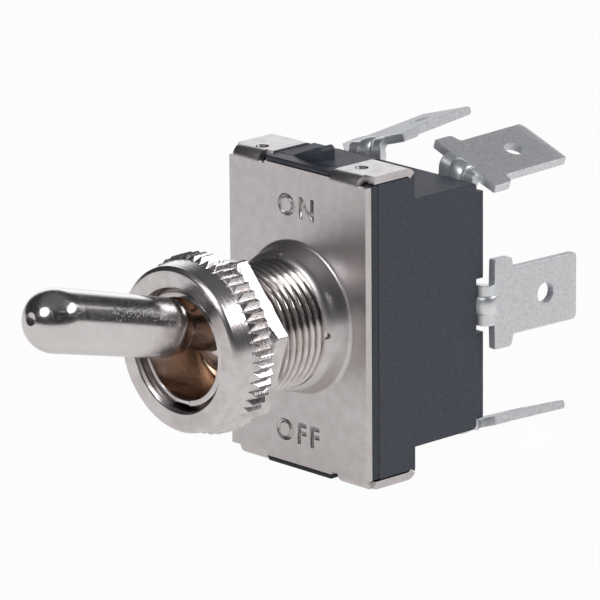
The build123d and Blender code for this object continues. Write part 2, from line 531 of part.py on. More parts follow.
def leaf_spring():
    """Right-hand bowed leaf between the carriage and the moving contact."""
    z0 = slide_z()
    back = FLOOR_Y - STUD_HEAD_H - CONTACT_GAP - 0.45 - BRIDGE_T
    crown = back - LEAF_RISE - LEAF_T / 2
    foot_y = back - LEAF_T / 2
    path = ThreePointArc((CONTACT_X, foot_y, z0 - LEAF_HALF_L), (CONTACT_X, crown, z0),
                         (CONTACT_X, foot_y, z0 + LEAF_HALF_L))
    start = Plane(origin=path @ 0, z_dir=path % 0, x_dir=(1, 0, 0))
    leaf = sweep(start * Rectangle(LEAF_W, LEAF_T), path)
    # the tips are ground flat where they rest on the contact
    return solid_of(leaf & box(0, BEYOND, crown - 2, back, -BEYOND, BEYOND))


# Write the parts
def left_of(shape):
    return solid_of(mirror(shape, Plane.YZ))


def build():
    parts = {
        "front_plate": front_plate(),
        "threaded_bushing": threaded_bushing(),
        "toggle_lever": toggle_lever(),
        "lever_pivot_pin": lever_pivot_pin(),
        "lever_ball_seat": lever_ball_seat(),
        "knurled_face_nut": knurled_face_nut(),
        "hex_back_nut": hex_back_nut(),
        "front_insulator": front_insulator(),
        "case": case(),
        "slide_carriage": slide_carriage(),
    }
    top, middle = end_terminal(END_BLADE), middle_terminal()
    bottom = solid_of(mirror(top, Plane.XY))
    parts["terminal_top_right"], parts["terminal_top_left"] = top, left_of(end_terminal(TOP_LEFT_BLADE))
    parts["terminal_middle_right"], parts["terminal_middle_left"] = middle, left_of(middle)
    parts["terminal_bottom_right"], parts["terminal_bottom_left"] = bottom, left_of(bottom)
    for name, z in (("top", CONTACT_PITCH), ("middle", 0), ("bottom", -CONTACT_PITCH)):
        parts[f"contact_stud_{name}_right"] = contact_stud(CONTACT_X, z)
        parts[f"contact_stud_{name}_left"] = contact_stud(-CONTACT_X, z)
    for name, maker in (("bridge_contact", bridge_contact), ("leaf_spring", leaf_spring)):
        right = maker()
        parts[f"{name}_right"] = right
        parts[f"{name}_left"] = left_of(right)
    return parts


os.makedirs("parts", exist_ok=True)
for node, shape in build().items():
    export_step(shape, f"parts/{node}.step")
    box_mm = shape.bounding_box()
    print(f"{node:24s} {shape.volume:9.2f} mm3  {tuple(round(v, 2) for v in box_mm.min)}"
          f" {tuple(round(v, 2) for v in box_mm.max)}")
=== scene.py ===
# %% [markdown]
# A panel toggle switch: a bright bat lever in a threaded bushing, two nuts, a steel front plate folded over
# a black case, and six tinned blades at the back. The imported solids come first, as a fixed frame, and every
# surface that is made here sits in that frame. Sizes are written in millimetres and put into Blender in
# metres.

# %% Load the frame
from math import asin, pi, radians, sqrt, tan

import bmesh
import bpy
import numpy as np
from mathutils import Matrix, Vector


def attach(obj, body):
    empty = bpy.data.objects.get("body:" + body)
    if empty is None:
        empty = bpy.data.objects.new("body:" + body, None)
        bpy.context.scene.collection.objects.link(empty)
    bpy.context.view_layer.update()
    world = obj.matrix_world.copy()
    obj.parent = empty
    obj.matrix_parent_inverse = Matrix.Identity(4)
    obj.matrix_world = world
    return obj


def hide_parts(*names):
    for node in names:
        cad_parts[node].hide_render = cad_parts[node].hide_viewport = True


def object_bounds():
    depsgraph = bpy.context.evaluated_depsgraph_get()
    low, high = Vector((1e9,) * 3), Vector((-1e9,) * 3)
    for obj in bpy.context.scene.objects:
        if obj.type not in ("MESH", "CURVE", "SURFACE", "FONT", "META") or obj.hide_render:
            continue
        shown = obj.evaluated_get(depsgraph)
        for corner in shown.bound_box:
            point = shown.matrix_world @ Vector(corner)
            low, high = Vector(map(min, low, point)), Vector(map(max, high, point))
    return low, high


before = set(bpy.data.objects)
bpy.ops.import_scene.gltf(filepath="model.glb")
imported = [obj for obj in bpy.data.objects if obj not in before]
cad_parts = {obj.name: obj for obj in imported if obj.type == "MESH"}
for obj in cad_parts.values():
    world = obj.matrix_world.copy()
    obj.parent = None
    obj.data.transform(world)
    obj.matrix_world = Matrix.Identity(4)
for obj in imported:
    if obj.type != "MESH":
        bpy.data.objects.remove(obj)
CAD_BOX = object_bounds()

MM = 0.001


# %% [markdown]
# A turned nut and a bent strip look unlike each other, but both are a function of two parameters, so both
# are a grid of points. They could be drawn with Blender's tools one by one. One helper that puts any grid
# into a mesh is shorter, and it leaves each shape as a formula. Writing whole arrays with foreach_set is
# also much faster than adding points one at a time.

# %% Grids to meshes
def smooth(obj, angle):
    """Smooth shading, with edges sharper than the angle in degrees kept sharp."""
    obj.data.shade_smooth()
    obj.data.set_sharp_from_angle(angle=radians(angle))
    return obj


def clean(obj, flat=False):
    """Merge points that coincide, turn all faces outwards and, if flat, join the faces of one plane."""
    bm = bmesh.new()
    bm.from_mesh(obj.data)
    bmesh.ops.remove_doubles(bm, verts=bm.verts, dist=2e-7)
    if flat:
        bmesh.ops.dissolve_limit(bm, angle_limit=radians(0.6), verts=bm.verts, edges=bm.edges)
    bmesh.ops.recalc_face_normals(bm, faces=bm.faces)
    bm.to_mesh(obj.data)
    bm.free()
    return obj


def surface(name, pts, wrap=(True, True)):
    """An object from a grid of points in millimetres, an array of (rows, columns, 3).

    Face (i, j) joins the points i and i+1 of columns j and j+1; wrap closes the rows, the columns or both.
    """
    rows, cols = pts.shape[:2]
    idx = np.arange(rows * cols).reshape(rows, cols)
    idx = np.vstack([idx, idx[:1]]) if wrap[0] else idx
    idx = np.hstack([idx, idx[:, :1]]) if wrap[1] else idx
    quads = np.stack([idx[:-1, :-1], idx[:-1, 1:], idx[1:, 1:], idx[1:, :-1]], -1).reshape(-1)
    mesh = bpy.data.meshes.new(name)
    mesh.vertices.add(rows * cols)
    mesh.vertices.foreach_set("co", (pts * MM).reshape(-1))
    mesh.loops.add(len(quads))
    mesh.loops.foreach_set("vertex_index", quads)
    mesh.polygons.add(len(quads) // 4)
    mesh.polygons.foreach_set("loop_start", np.arange(0, len(quads), 4))
    mesh.update(calc_edges=True)
    obj = bpy.data.objects.new(name, mesh)
    bpy.context.scene.collection.objects.link(obj)
    clean(obj)
    mesh.validate()
    return obj


# %% [markdown]
# A shader is arithmetic, so it reads best as arithmetic. It could be drawn by hand in the node editor, but
# then nothing of it could be read here. This small class wraps a socket and gives it Python's operators:
# each one adds a Math node, and the reflected forms let a plain number stand on the left.

# %% Numbers in a node tree
class Num:
    """A number inside a node tree, with Python's operators."""

    def __init__(self, tree, socket):
        self.tree, self.socket = tree, socket

    def __add__(self, other):
        return self.tree.math("ADD", self, other)

    def __sub__(self, other):
        return self.tree.math("SUBTRACT", self, other)

    def __rsub__(self, other):
        return self.tree.math("SUBTRACT", other, self)

    def __mul__(self, other):
        return self.tree.math("MULTIPLY", self, other)

    __radd__, __rmul__ = __add__, __mul__


# %% [markdown]
# Whatever isn't arithmetic goes through one method that makes any node: its settings are set first, because
# some of them change which sockets there are, and then its sockets. Colours are mixed by a Mix node, since
# a Math node would turn them grey.

# %% Node trees
class Tree:
    """A node tree whose sockets take numbers, colours or what these methods return."""

    def __init__(self, tree):
        self.tree = tree

    def node(self, kind, settings=None, sockets=None):
        """Any node: its settings are set first, then its sockets, by a value or by a link."""
        node = self.tree.nodes.new(kind)
        for key, value in (settings or {}).items():
            setattr(node, key, value)
        for key, value in (sockets or {}).items():
            self.feed(node.inputs[key], value)
        return node

    def feed(self, socket, value):
        """Set a socket: link what comes out of another node, or write a plain value."""
        value = value.socket if isinstance(value, Num) else value
        if isinstance(value, bpy.types.NodeSocket):
            self.tree.links.new(value, socket)
        else:
            socket.default_value = value

    def math(self, operation, *values):
        """One Math node, with the values in its sockets from the first on."""
        node = self.node("ShaderNodeMath", {"operation": operation}, dict(enumerate(values)))
        return Num(self, node.outputs[0])

    def ramp(self, value, low, high):
        """0 below low, 1 above high and smooth between."""
        node = self.node("ShaderNodeMapRange", {"interpolation_type": "SMOOTHSTEP"},
                         {"Value": value, "From Min": low, "From Max": high})
        return Num(self, node.outputs[0])

    def mix(self, factor, a, b):
        """Colour a where the factor is 0 and b where it is 1."""
        node = self.node("ShaderNodeMix", {"data_type": "RGBA"})
        for i, value in ((0, factor), (6, a), (7, b)):
            self.feed(node.inputs[i], (*value, 1.0) if isinstance(value, tuple) else value)
        return node.outputs[2]


# %% [markdown]
# Every finish below is one Principled shader that starts from the object's own x, y and z in millimetres.
# Object coordinates stay with a piece when it moves, so marks turn with their nut. The patterns are few:
# noise, noise in one dimension for parallel marks, and cells for a speckle.

# %% One material
class Shader(Tree):
    """One material: a Principled shader, and the object's own x, y and z in millimetres."""

    def __init__(self, name, metallic=0.0):
        self.material = bpy.data.materials.new(name)
        self.material.use_nodes = True
        super().__init__(self.material.node_tree)
        self.principled = self.tree.nodes["Principled BSDF"]
        self.principled.inputs["Metallic"].default_value = metallic
        place = self.node("ShaderNodeTexCoord").outputs["Object"]
        scaled = self.node("ShaderNodeVectorMath", {"operation": "SCALE"}, {0: place, "Scale": 1.0 / MM})
        self.place = scaled.outputs[0]
        split = self.node("ShaderNodeSeparateXYZ", {}, {0: self.place})
        self.x, self.y, self.z = (Num(self, split.outputs[i]) for i in range(3))

    def noise(self, size, detail, rough=0.5, stretch=None):
        """Noise whose blobs are about size millimetres; stretch lengthens them along x, y and z."""
        place = self.place
        if stretch:
            divide = self.node("ShaderNodeVectorMath", {"operation": "DIVIDE"}, {0: place, 1: stretch})
            place = divide.outputs[0]
        node = self.node("ShaderNodeTexNoise", {}, {
            "Vector": place, "Scale": 1.0 / size, "Detail": detail, "Roughness": rough})
        return Num(self, node.outputs[0])

    def lines(self, along, per_mm, detail=3.0):
        """Noise in one dimension: parallel marks across the value along."""
        node = self.node("ShaderNodeTexNoise", {"noise_dimensions": "1D"},
                         {"W": along, "Scale": per_mm, "Detail": detail, "Roughness": 0.6})
        return Num(self, node.outputs[0])

    def speckle(self, size):
        """Cells about size millimetres across, each with one random number."""
        node = self.node("ShaderNodeTexVoronoi", {}, {"Vector": self.place, "Scale": 1.0 / size})
        split = self.node("ShaderNodeSeparateXYZ", {}, {0: node.outputs["Color"]})
        return Num(self, split.outputs[0])

    def bump(self, height, depth):
        """Normal from a height between 0 and 1 that stands for depth millimetres."""
        node = self.node("ShaderNodeBump", {}, {"Strength": 1.0, "Distance": depth * MM, "Height": height})
        self.feed(self.principled.inputs["Normal"], node.outputs[0])

    def look(self, colour, rough):
        """Join colour and roughness to the shader and give back the finished material."""
        self.feed(self.principled.inputs["Base Color"], colour)
        self.feed(self.principled.inputs["Roughness"], rough)
        print("material", self.material.name, len(self.tree.nodes), "nodes")
        return self.material


# %% [markdown]
# Most of this switch is made on a lathe: lever, bushing and nuts. Blender has a Screw modifier and a Spin
# tool for that. Here an outline of (radius, y) points is multiplied by a circle instead, because the thread
# and the knurl will need a radius that also depends on the angle.

# %% Outlines to spin
def run(*points, step=0.5):
    """A broken line through (radius, y) points as an array, with extra points at most step apart."""
    out = [points[:1]]
    for p, q in zip(points, points[1:]):
        n = max(1, int(np.ceil(np.hypot(q[0] - p[0], q[1] - p[1]) / step)))
        t = np.linspace(0, 1, n + 1)[1:, None]
        out.append(np.array(p) + t * (np.array(q) - p))
    return np.vstack(out)


def arc(centre, radius, a0, a1, n):
    """Points of an arc as (radius, y): centre + radius * (cos a, sin a), with a in degrees."""
    a = np.radians(np.linspace(a0, a1, n))
    return np.stack([centre[0] + radius * np.cos(a), centre[1] + radius * np.sin(a)], -1)


def turn(count):
    """Evenly spaced angles round a circle, without the last one, which is the first again."""
    return np.linspace(0, 2 * pi, count, endpoint=False)


def spun(profile, angles):
    """Grid of a turned part: row i, column j is (r cos a, y, r sin a), about the Y axis."""
    r, y = profile[:, :1], profile[:, 1:]
    return np.stack([r * np.cos(angles), y + 0 * angles, r * np.sin(angles)], -1)


# %% [markdown]
# Drilled holes and milled slots are cut from the finished blank, as in the workshop. A Boolean modifier
# does it, and its result is written back into the mesh at once, so that every piece stays one plain mesh in
# its place.

# %% Drilling and carving
X_WAY, Y_WAY = np.eye(3)[:2]


def rod(centre, axes, radius, half, count):
    """Grid of a closed cylinder to cut with: rings of radius 0, r, r and 0 at -half, -half, half and half.

    The rings lie in x and z, and the length along y, of the directions in the columns of axes.
    """
    ring = np.stack([np.cos(turn(count)), 0 * turn(count), np.sin(turn(count))], -1)
    rows = ((0, -half), (radius, -half), (radius, half), (0, half))
    return np.stack([centre + (ring * r + Y_WAY * y) @ axes.T for r, y in rows])


def carve(obj, cutter):
    """Cut one closed mesh out of another and drop the cutter."""
    mod = obj.modifiers.new("cut", "BOOLEAN")
    mod.operation, mod.solver, mod.object = "DIFFERENCE", "EXACT", cutter
    bpy.context.view_layer.update()
    made = bpy.data.meshes.new_from_object(obj.evaluated_get(bpy.context.evaluated_depsgraph_get()))
    obj.modifiers.clear()
    before, obj.data = len(obj.data.vertices), made
    bpy.data.objects.remove(cutter)
    print(obj.name, "cut:", before, "->", len(made.vertices), "points")
    return obj


def finish_piece(obj, body, node, finish):
    """Give a piece its finish, hang it on its body in place of its CAD node, and print its size."""
    obj.data.materials.append(finish)
    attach(obj, body)
    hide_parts(node)
    print(f"{obj.name}: {len(obj.data.polygons)} faces on {body}")


# %% [markdown]
# The lever is one turned piece: a ball-ended bat that narrows to a neck, the pivot ball with its cross
# hole, and a tail with a small ball of its own. It could be three primitives pushed together, but the joins
# would show in the reflections. So its outline is one chain of lines and arcs, with a Bezier curve where
# the bat falls to the neck. It is spun about the lever's own axis and then tipped up.

# %% Lever
PIVOT_Y, LEVER_TILT = -7.0, radians(14.4)
TIP_R, TIP_S, DIMPLE_R, DIMPLE_DEPTH = 2.90, 22.93, 0.55, 0.16
BAT_ROOT_R, BAT_ROOT_S, NECK_R, NECK_S, BALL_R, PIN_HOLE_R = 2.74, 10.3, 1.85, 7.45, 4.10, 0.93
TAIL_R, TAIL_NECK_R, TAIL_NECK_S, TAIL_BALL_R, TAIL_S = 1.30, 0.95, 12.4, 1.40, 15.0


def bezier(p0, p1, p2, p3, t):
    """Cubic Bezier: the four points weighted by (1-t)^3, 3t(1-t)^2, 3t^2(1-t) and t^3."""
    t = t[:, None]
    weights = ((1 - t) ** 3, 3 * t * (1 - t) ** 2, 3 * t**2 * (1 - t), t**3)
    return sum(w * np.array(p) for w, p in zip(weights, (p0, p1, p2, p3)))


def on_lever(pts):
    """Bring points drawn along -Y from the pivot to the tipped lever: a turn about X, then a shift."""
    c, s = np.cos(LEVER_TILT), -np.sin(LEVER_TILT)
    y, z = pts[..., 1], pts[..., 2]
    return np.stack([pts[..., 0], PIVOT_Y + c * y - s * z, s * y + c * z], -1)


def lever_outline():
    """Outline in (r, -s): dimple, tip ball, bat, a smooth fall to the neck, ball, tail and tail ball."""
    dimple_y = -TIP_S - TIP_R + DIMPLE_DEPTH
    rim = np.degrees(asin(DIMPLE_R / TIP_R))
    root, neck, t = (BAT_ROOT_R, -BAT_ROOT_S), (NECK_R, -NECK_S), np.linspace(0, 1, 16)[1:]
    fall = bezier(root, (BAT_ROOT_R, 1.55 - BAT_ROOT_S), (NECK_R + 0.40, -0.60 - NECK_S), neck, t)
    # the ball meets neck and tail where its circle has their radius
    neck_a, tail_a = (np.degrees(asin(sqrt(BALL_R**2 - r**2) / BALL_R)) for r in (NECK_R, TAIL_R))
    tail_ball_a = -np.degrees(np.arccos(TAIL_NECK_R / TAIL_BALL_R))
    outline = np.vstack([
        [(0, dimple_y), (DIMPLE_R * 0.55, dimple_y)],
        arc((0, -TIP_S), TIP_R, -90 + rim, 0, 24),
        run((TIP_R, -TIP_S), (BAT_ROOT_R, -BAT_ROOT_S), step=1.0)[1:],
        fall,
        arc((0, 0), BALL_R, -neck_a, tail_a, 40),
        run((TAIL_R, TAIL_S - 9.0), (TAIL_R, TAIL_NECK_S - 0.5), (TAIL_NECK_R, TAIL_NECK_S)),
        arc((0, TAIL_S), TAIL_BALL_R, tail_ball_a, 90, 14)])
    outline[-1, 0] = 0
    return outline


lever = surface("toggle_lever_bat", on_lever(spun(lever_outline(), turn(128))), wrap=(False, True))
# the cross pin's hole runs along X, so x and y trade places
pin_hole = rod((0, PIVOT_Y, 0), np.eye(3)[[1, 0, 2]], PIN_HOLE_R, 9.0, 48)
smooth(carve(lever, surface("cross_hole", pin_hole, wrap=(False, True))), 40)


# %% [markdown]
# On the real lever this is polished nickel plate over brass. Polish could be a plain mirror with a low
# roughness, but a handle that was plated in a barrel is never that even. It has a slight orange peel, tiny
# pits and a haze that wanders. The turning marks, too fine to see one by one, are rings about the lever's
# own axis, so they follow the distance along it.

# %% Lever finish
def lever_nickel():
    """Relief = rings along the axis + peel + pits; the haze picks the colour and adds to the roughness."""
    sh = Shader("lever_nickel", metallic=1.0)
    along = sh.y * -float(np.cos(LEVER_TILT)) + sh.z * float(np.sin(LEVER_TILT))
    rings = sh.lines(along, 14.0, 2.0)
    haze = sh.noise(2.2, 4.0)
    peel = sh.noise(0.5, 4.0, 0.6)
    pits = sh.speckle(0.22)
    sh.bump(rings * 0.15 + peel + pits * 0.5, 0.009)
    return sh.look(sh.mix(haze, (0.79, 0.757, 0.757), (0.70, 0.667, 0.667)), 0.13 + 0.10 * haze)


finish_piece(lever, "lever", "toggle_lever", lever_nickel())


# %% [markdown]
# The bushing's thread is 32 turns to the inch. A thread is often faked by rings or by a bump map. The true
# one costs no more: its radius depends on both the place along the axis and the angle. Follow the surface
# once round, and the crest has moved along by one pitch.

# %% Thread
THREAD_R, THREAD_PITCH, THREAD_DEPTH = 5.953, 25.4 / 32, 0.44
CREST_FLAT, FLANK = 0.14, 0.74


def threaded(y, angle, radius, depth):
    """Radius of a V thread: the phase y / pitch + angle / turn gives 0 at the crest and 1 at the root.

    Crest and root are a little flat, so the triangle wave is stretched and clipped.
    """
    phase = np.mod(y / THREAD_PITCH + angle / (2 * pi), 1.0)
    wave = np.abs(2 * phase - 1)
    return radius - depth * np.clip((wave - CREST_FLAT) / FLANK, 0, 1)


print("thread", round(2 * THREAD_R, 3), "mm across, pitch", round(THREAD_PITCH, 4), "mm")


# %% [markdown]
# The bushing is a brass tube with a flange behind the plate, a bore that the lever's ball sits in, and a
# keyway along the thread's underside. A keyway is milled afterwards, and a Boolean could do that here. But
# the cut would cross hundreds of thread faces at a shallow angle. Nine extra columns of the same grid,
# pressed down to a flat floor, give cleaner edges.

# %% Bushing
MOUTH_Y, SEAT_Y, COLLAR_Y = -14.25, -8.3, -2.5
RING_R, BORE_R, BALL_BORE_R = 5.22, 4.67, 4.17
FLANGE_R, FLANGE_Y0, FLANGE_Y1 = 7.35, 0.72, 1.42
KEY_HALF, KEY_Z, KEY_END = 0.95, 0.95 - THREAD_R, -3.1
ROWS_PER_TURN = 12


def threaded_bushing():
    """Closed loop of rows: bore, ball bore, flange, thread, chamfer, mouth ring; columns go round."""
    edge = asin(KEY_HALF / THREAD_R)
    angles = np.linspace(-pi / 2 + edge, 1.5 * pi - edge, 200)
    thread_y = np.arange(COLLAR_Y + 0.4, MOUTH_Y + 0.02, -THREAD_PITCH / ROWS_PER_TURN)
    thread_y = np.sort(np.append(thread_y, [KEY_END, KEY_END + 0.001]))[::-1]
    inner = run((BORE_R, MOUTH_Y + 0.08), (BORE_R, SEAT_Y), (BALL_BORE_R, SEAT_Y + 0.5),
                (BALL_BORE_R, FLANGE_Y1), (FLANGE_R, FLANGE_Y1), (FLANGE_R, FLANGE_Y0),
                (THREAD_R, FLANGE_Y0), (THREAD_R, COLLAR_Y + 0.5), step=1.0)
    outer = np.stack([np.full(len(thread_y), THREAD_R), thread_y], -1)
    lip = np.array([(RING_R + 0.04, MOUTH_Y + 0.04), (RING_R - 0.05, MOUTH_Y), (BORE_R + 0.08, MOUTH_Y)])
    profile = np.vstack([inner, outer, lip])
    is_thread = np.zeros(len(profile), bool)
    is_thread[len(inner):len(inner) + len(outer)] = True
    # columns: round the thread, down the keyway's wall, across its floor, up the other wall
    floor_x = np.linspace(-KEY_HALF, KEY_HALF, 9)
    is_key = np.arange(len(angles) + len(floor_x)) >= len(angles)
    theta = np.concatenate([angles, -pi / 2 + np.arcsin(floor_x / THREAD_R)])
    r = np.repeat(profile[:, :1], len(theta), 1)
    y = np.repeat(profile[:, 1:], len(theta), 1)
    theta = theta[None] + 0 * r
    chamfer = RING_R + 0.04 + (y - MOUTH_Y - 0.04)
    r = np.where(is_thread[:, None], np.minimum(threaded(y, theta, THREAD_R, THREAD_DEPTH), chamfer), r)
    x, z = r * np.cos(theta), r * np.sin(theta)
    # both edges of the keyway stand straight: their x is fixed
    for j, side in ((0, 1), (len(angles) - 1, -1), (len(angles), -1), (-1, 1)):
        x[:, j] = side * KEY_HALF
        z[:, j] = -np.sqrt(r[:, j] ** 2 - KEY_HALF**2)
    z = np.where(is_key[None] & (y < KEY_END + 0.0005) & (z < KEY_Z), KEY_Z, z)
    return surface("threaded_bushing_turned", np.stack([x, y, z], -1))


# %% [markdown]
# The cross pin that the lever pivots on drops into two slots in the ball's bore, from behind. They could be
# pressed into the grid as the keyway was, but its rows and columns don't run where a round slot needs them.
# So each slot is a prism with one round end, and both are carved out of the bushing.

# %% Grooves for the cross pin
GROOVE_HALF, GROOVE_FROM, GROOVE_REACH, GROOVE_MID_Y, GROOVE_BACK_Y = 0.92, 1.0, 5.16, -2.0, 3.0


def pin_groove(side):
    """The slot for one end of the pin, a closed prism: half a circle round the pivot, open to the back."""
    a = np.radians(np.linspace(180, 360, 17))
    y = np.concatenate([[GROOVE_BACK_Y], PIVOT_Y + GROOVE_HALF * np.sin(a), [GROOVE_BACK_Y]])
    z = np.concatenate([[-GROOVE_HALF], GROOVE_HALF * np.cos(a), [GROOVE_HALF]])
    x = np.array([GROOVE_FROM, GROOVE_FROM, GROOVE_REACH, GROOVE_REACH])[:, None] * side
    open_up = np.array([0.0, 1.0, 1.0, 0.0])[:, None]
    y = GROOVE_MID_Y + open_up * (y - GROOVE_MID_Y)
    return surface("pin_groove", np.stack([x + 0 * y, y, open_up * z], -1), wrap=(False, True))


bushing = threaded_bushing()
for side in (1, -1):
    carve(bushing, pin_groove(side))
smooth(bushing, 28)


# %% [markdown]
# Nuts and bushing are turned and then nickel plated. Lathe marks are rings about the axis: on a flat face
# they go by radius, on a band by the place along the axis, and the sum of the two serves both. An
# anisotropic shader would stretch the highlights as well, but it shows no single mark, and here each mark
# bends a highlight into a fine streak. Inside the bushing's mouth the plating is thin and the brass shows
# through, so there the colour is mixed towards brass by radius. In the thread's roots the colour is mixed
# towards a dark brown by radius, as painted shade.

# %% Turned nickel
ROOT_SHADE, CHAMFER_SHADE = (5.86, 5.60), (5.30, 5.45)


def turned_nickel(name):
    """What both finishes share: the shader, the radius, fine and coarse marks, stains and the colour."""
    sh = Shader(name, metallic=1.0)
    r = sh.math("SQRT", sh.x * sh.x + sh.z * sh.z)
    fine, coarse, stain = sh.lines(r + sh.y, 6.0), sh.lines(r - sh.y, 2.2), sh.noise(1.4, 4.0)
    colour = sh.mix(sh.ramp(stain, 0.35, 0.7), (0.75, 0.715, 0.72), (0.64, 0.60, 0.60))
    return sh, r, fine, coarse, stain, colour


def nut_nickel():
    """Relief = marks fine and coarse, deep enough to break up highlights; roughness follows the fine."""
    sh, _, fine, coarse, stain, colour = turned_nickel("turned_nickel")
    sh.bump(fine * 0.5 + coarse, 0.022)
    return sh.look(colour, 0.16 + 0.14 * fine + 0.05 * stain)


def bushing_nickel():
    """Shallower marks; by radius, root = painted shade between crest and root, inside = brass in the bore."""
    sh, r, fine, coarse, stain, colour = turned_nickel("bushing_nickel")
    sh.bump(fine * 0.7 + coarse * 0.5, 0.009)
    # painted shade: the thread's roots are darkened towards a dark brown
    root = sh.ramp(r, *ROOT_SHADE) * sh.ramp(r, *CHAMFER_SHADE)
    inside = sh.ramp(r, BORE_R + 0.07, BORE_R - 0.01) * sh.ramp(sh.y, MOUTH_Y - 0.05, MOUTH_Y + 0.65)
    colour = sh.mix(root * 0.8, colour, (0.34, 0.28, 0.24))
    colour = sh.mix(inside * 0.9, colour, (0.78, 0.57, 0.43))
    return sh.look(colour, 0.12 + 0.10 * fine + 0.05 * stain + 0.05 * inside)


NUT_FINISH = nut_nickel()
finish_piece(bushing, "housing", "threaded_bushing", bushing_nickel())


# %% [markdown]
# The face nut has a flat ring in front, a plain tapered band and a straight knurl. The teeth could be an
# array of copies, but a straight knurl is a ring of V grooves, so the radius is the smaller of the turned
# blank and the V of the nearest groove. The teeth get their pointed fronts from that alone, where the V
# meets the blank's cone.

# %% Knurled face nut
NUT_Y0, NUT_Y1, FACE_R, BAND_R0, BAND_R1 = -14.90, -10.52, 7.22, 7.61, 7.82
KNURL_Y0, KNURL_Y1, KNURL_R, KNURL_ROOT, TEETH, KNURL_SLOPE = -12.75, -10.75, 8.25, 7.72, 52, 1.148
NUT_BORE, LIP_R, LIP_Y, LIP_THREAD = 5.993, 5.76, -14.37, 0.30


def knurled_face_nut():
    """r(angle, y) = min(blank(y), root + slope * distance from the nearest groove's middle)."""
    angles = turn(TEETH * 12)
    blank = np.vstack([
        run((FACE_R, NUT_Y0), (FACE_R + 0.08, NUT_Y0 + 0.03), (BAND_R0 - 0.04, NUT_Y0 + 0.28),
            (BAND_R0, NUT_Y0 + 0.34), (BAND_R1, KNURL_Y0), step=0.25),
        run((BAND_R1, KNURL_Y0), (BAND_R1 + 0.40, KNURL_Y0 + 0.51), (KNURL_R, KNURL_Y0 + 0.58),
            (KNURL_R, KNURL_Y1), (KNURL_ROOT, NUT_Y1), step=0.08)[1:]])
    back = run((FACE_R - 0.02, NUT_Y1), (NUT_BORE + 0.25, NUT_Y1), (NUT_BORE, NUT_Y1 - 0.25),
               (NUT_BORE, LIP_Y + 0.07), step=0.6)
    lip_y = np.linspace(LIP_Y, NUT_Y0 + 0.07, 14)
    lip = np.stack([np.full(len(lip_y), LIP_R), lip_y], -1)
    face = run((LIP_R + 0.10, NUT_Y0), (FACE_R, NUT_Y0), step=0.3)[:-1]
    profile = np.vstack([blank, back, lip, face])
    r = np.repeat(profile[:, :1], len(angles), 1)
    y = np.repeat(profile[:, 1:], len(angles), 1)
    off = np.abs(np.mod(angles * TEETH / (2 * pi) + 0.5, 1.0) - 0.5) * 2 * pi * KNURL_R / TEETH
    toothed = (y > KNURL_Y0 - 0.2) & (r > KNURL_ROOT - 0.01)
    r = np.where(toothed, np.minimum(r, KNURL_ROOT + KNURL_SLOPE * off), r)
    # one turn of the nut's own thread shows at the mouth
    first = len(blank) + len(back)
    at_lip = slice(first, first + len(lip))
    r[at_lip] = NUT_BORE - (THREAD_R - threaded(y[at_lip], angles + 2.0, THREAD_R, LIP_THREAD))
    return surface("knurled_face_nut_cut", np.stack([r * np.cos(angles), y, r * np.sin(angles)], -1))


finish_piece(smooth(knurled_face_nut(), 24), "face_nut", "knurled_face_nut", NUT_FINISH)


# %% [markdown]
# The back nut is a hexagon with its front corners turned off. A six-sided cylinder with a bevel would be
# quick, but a real nut's corners are cut by a cone, and that draws the curved edge on each flat. A hexagon
# with small rounded corners is also a radius by angle, and again the smaller of the two radii wins.

# %% Hex back nut
HEX_AF, HEX_Y0, HEX_Y1, HEX_TURN = 14.0, -10.45, -8.65, radians(11.4)
HEX_CORNER_R, HEX_CHAMFER, HEX_BLANK_R = 0.25, radians(30), HEX_AF / 2 + 1.9


def rounded_hexagon(angle, flat, corner):
    """Radius of a hexagon with rounded corners: where the ray meets a side or a corner's circle."""
    phi = np.mod(angle, pi / 3) - pi / 6
    side = flat / np.cos(phi)
    far = (flat - corner) / np.cos(pi / 6)
    beta = pi / 6 - np.abs(phi)
    circle = far * np.cos(beta) + np.sqrt(np.maximum(corner**2 - (far * np.sin(beta)) ** 2, 0))
    return np.where(far * np.sin(beta) < corner * np.sin(pi / 6) * 0.999, np.minimum(side, circle), side)


def hex_back_nut():
    """r(angle, y) = min(blank(y), hexagon(angle)), but round in the bore; more columns at the corners."""
    near = np.concatenate([np.linspace(0, 1.6, 9), np.linspace(3, 57, 19), np.linspace(58.4, 60, 9)[:-1]])
    angles = np.radians((near[None] + 60 * np.arange(6)[:, None]).reshape(-1))
    profile = np.vstack([
        run((HEX_AF / 2 - 0.1, HEX_Y0), (HEX_BLANK_R, HEX_Y0 + 2.0 * tan(HEX_CHAMFER)), step=0.12),
        run((HEX_BLANK_R, HEX_Y0 + 1.25), (HEX_BLANK_R, HEX_Y1 - 0.05), (HEX_BLANK_R - 0.1, HEX_Y1),
            step=0.3),
        run((6.9, HEX_Y1), (NUT_BORE + 0.2, HEX_Y1), (NUT_BORE, HEX_Y1 - 0.2), (NUT_BORE, HEX_Y0 + 0.25),
            (NUT_BORE + 0.25, HEX_Y0), (6.88, HEX_Y0), step=0.4)])
    r = profile[:, :1]
    r = np.where(r < 6.95, r, np.minimum(r, rounded_hexagon(angles, HEX_AF / 2, HEX_CORNER_R)))
    a = angles + HEX_TURN
    return surface("hex_back_nut_cut", np.stack([r * np.cos(a), profile[:, 1:] + 0 * a, r * np.sin(a)], -1))


finish_piece(smooth(hex_back_nut(), 24), "back_nut", "hex_back_nut", NUT_FINISH)


# %% [markdown]
# The plate and the two mouldings already have their true shape as solids. What a solid lacks is the soft
# edge that every pressed or moulded part has, and a soft edge is what catches the light. Modelling all
# three again would gain nothing. So each is copied, its triangles are joined back into whole faces, and a
# Bevel modifier rounds the edges that are sharper than 30 degrees. Weighted normals then keep the large
# flat faces flat.

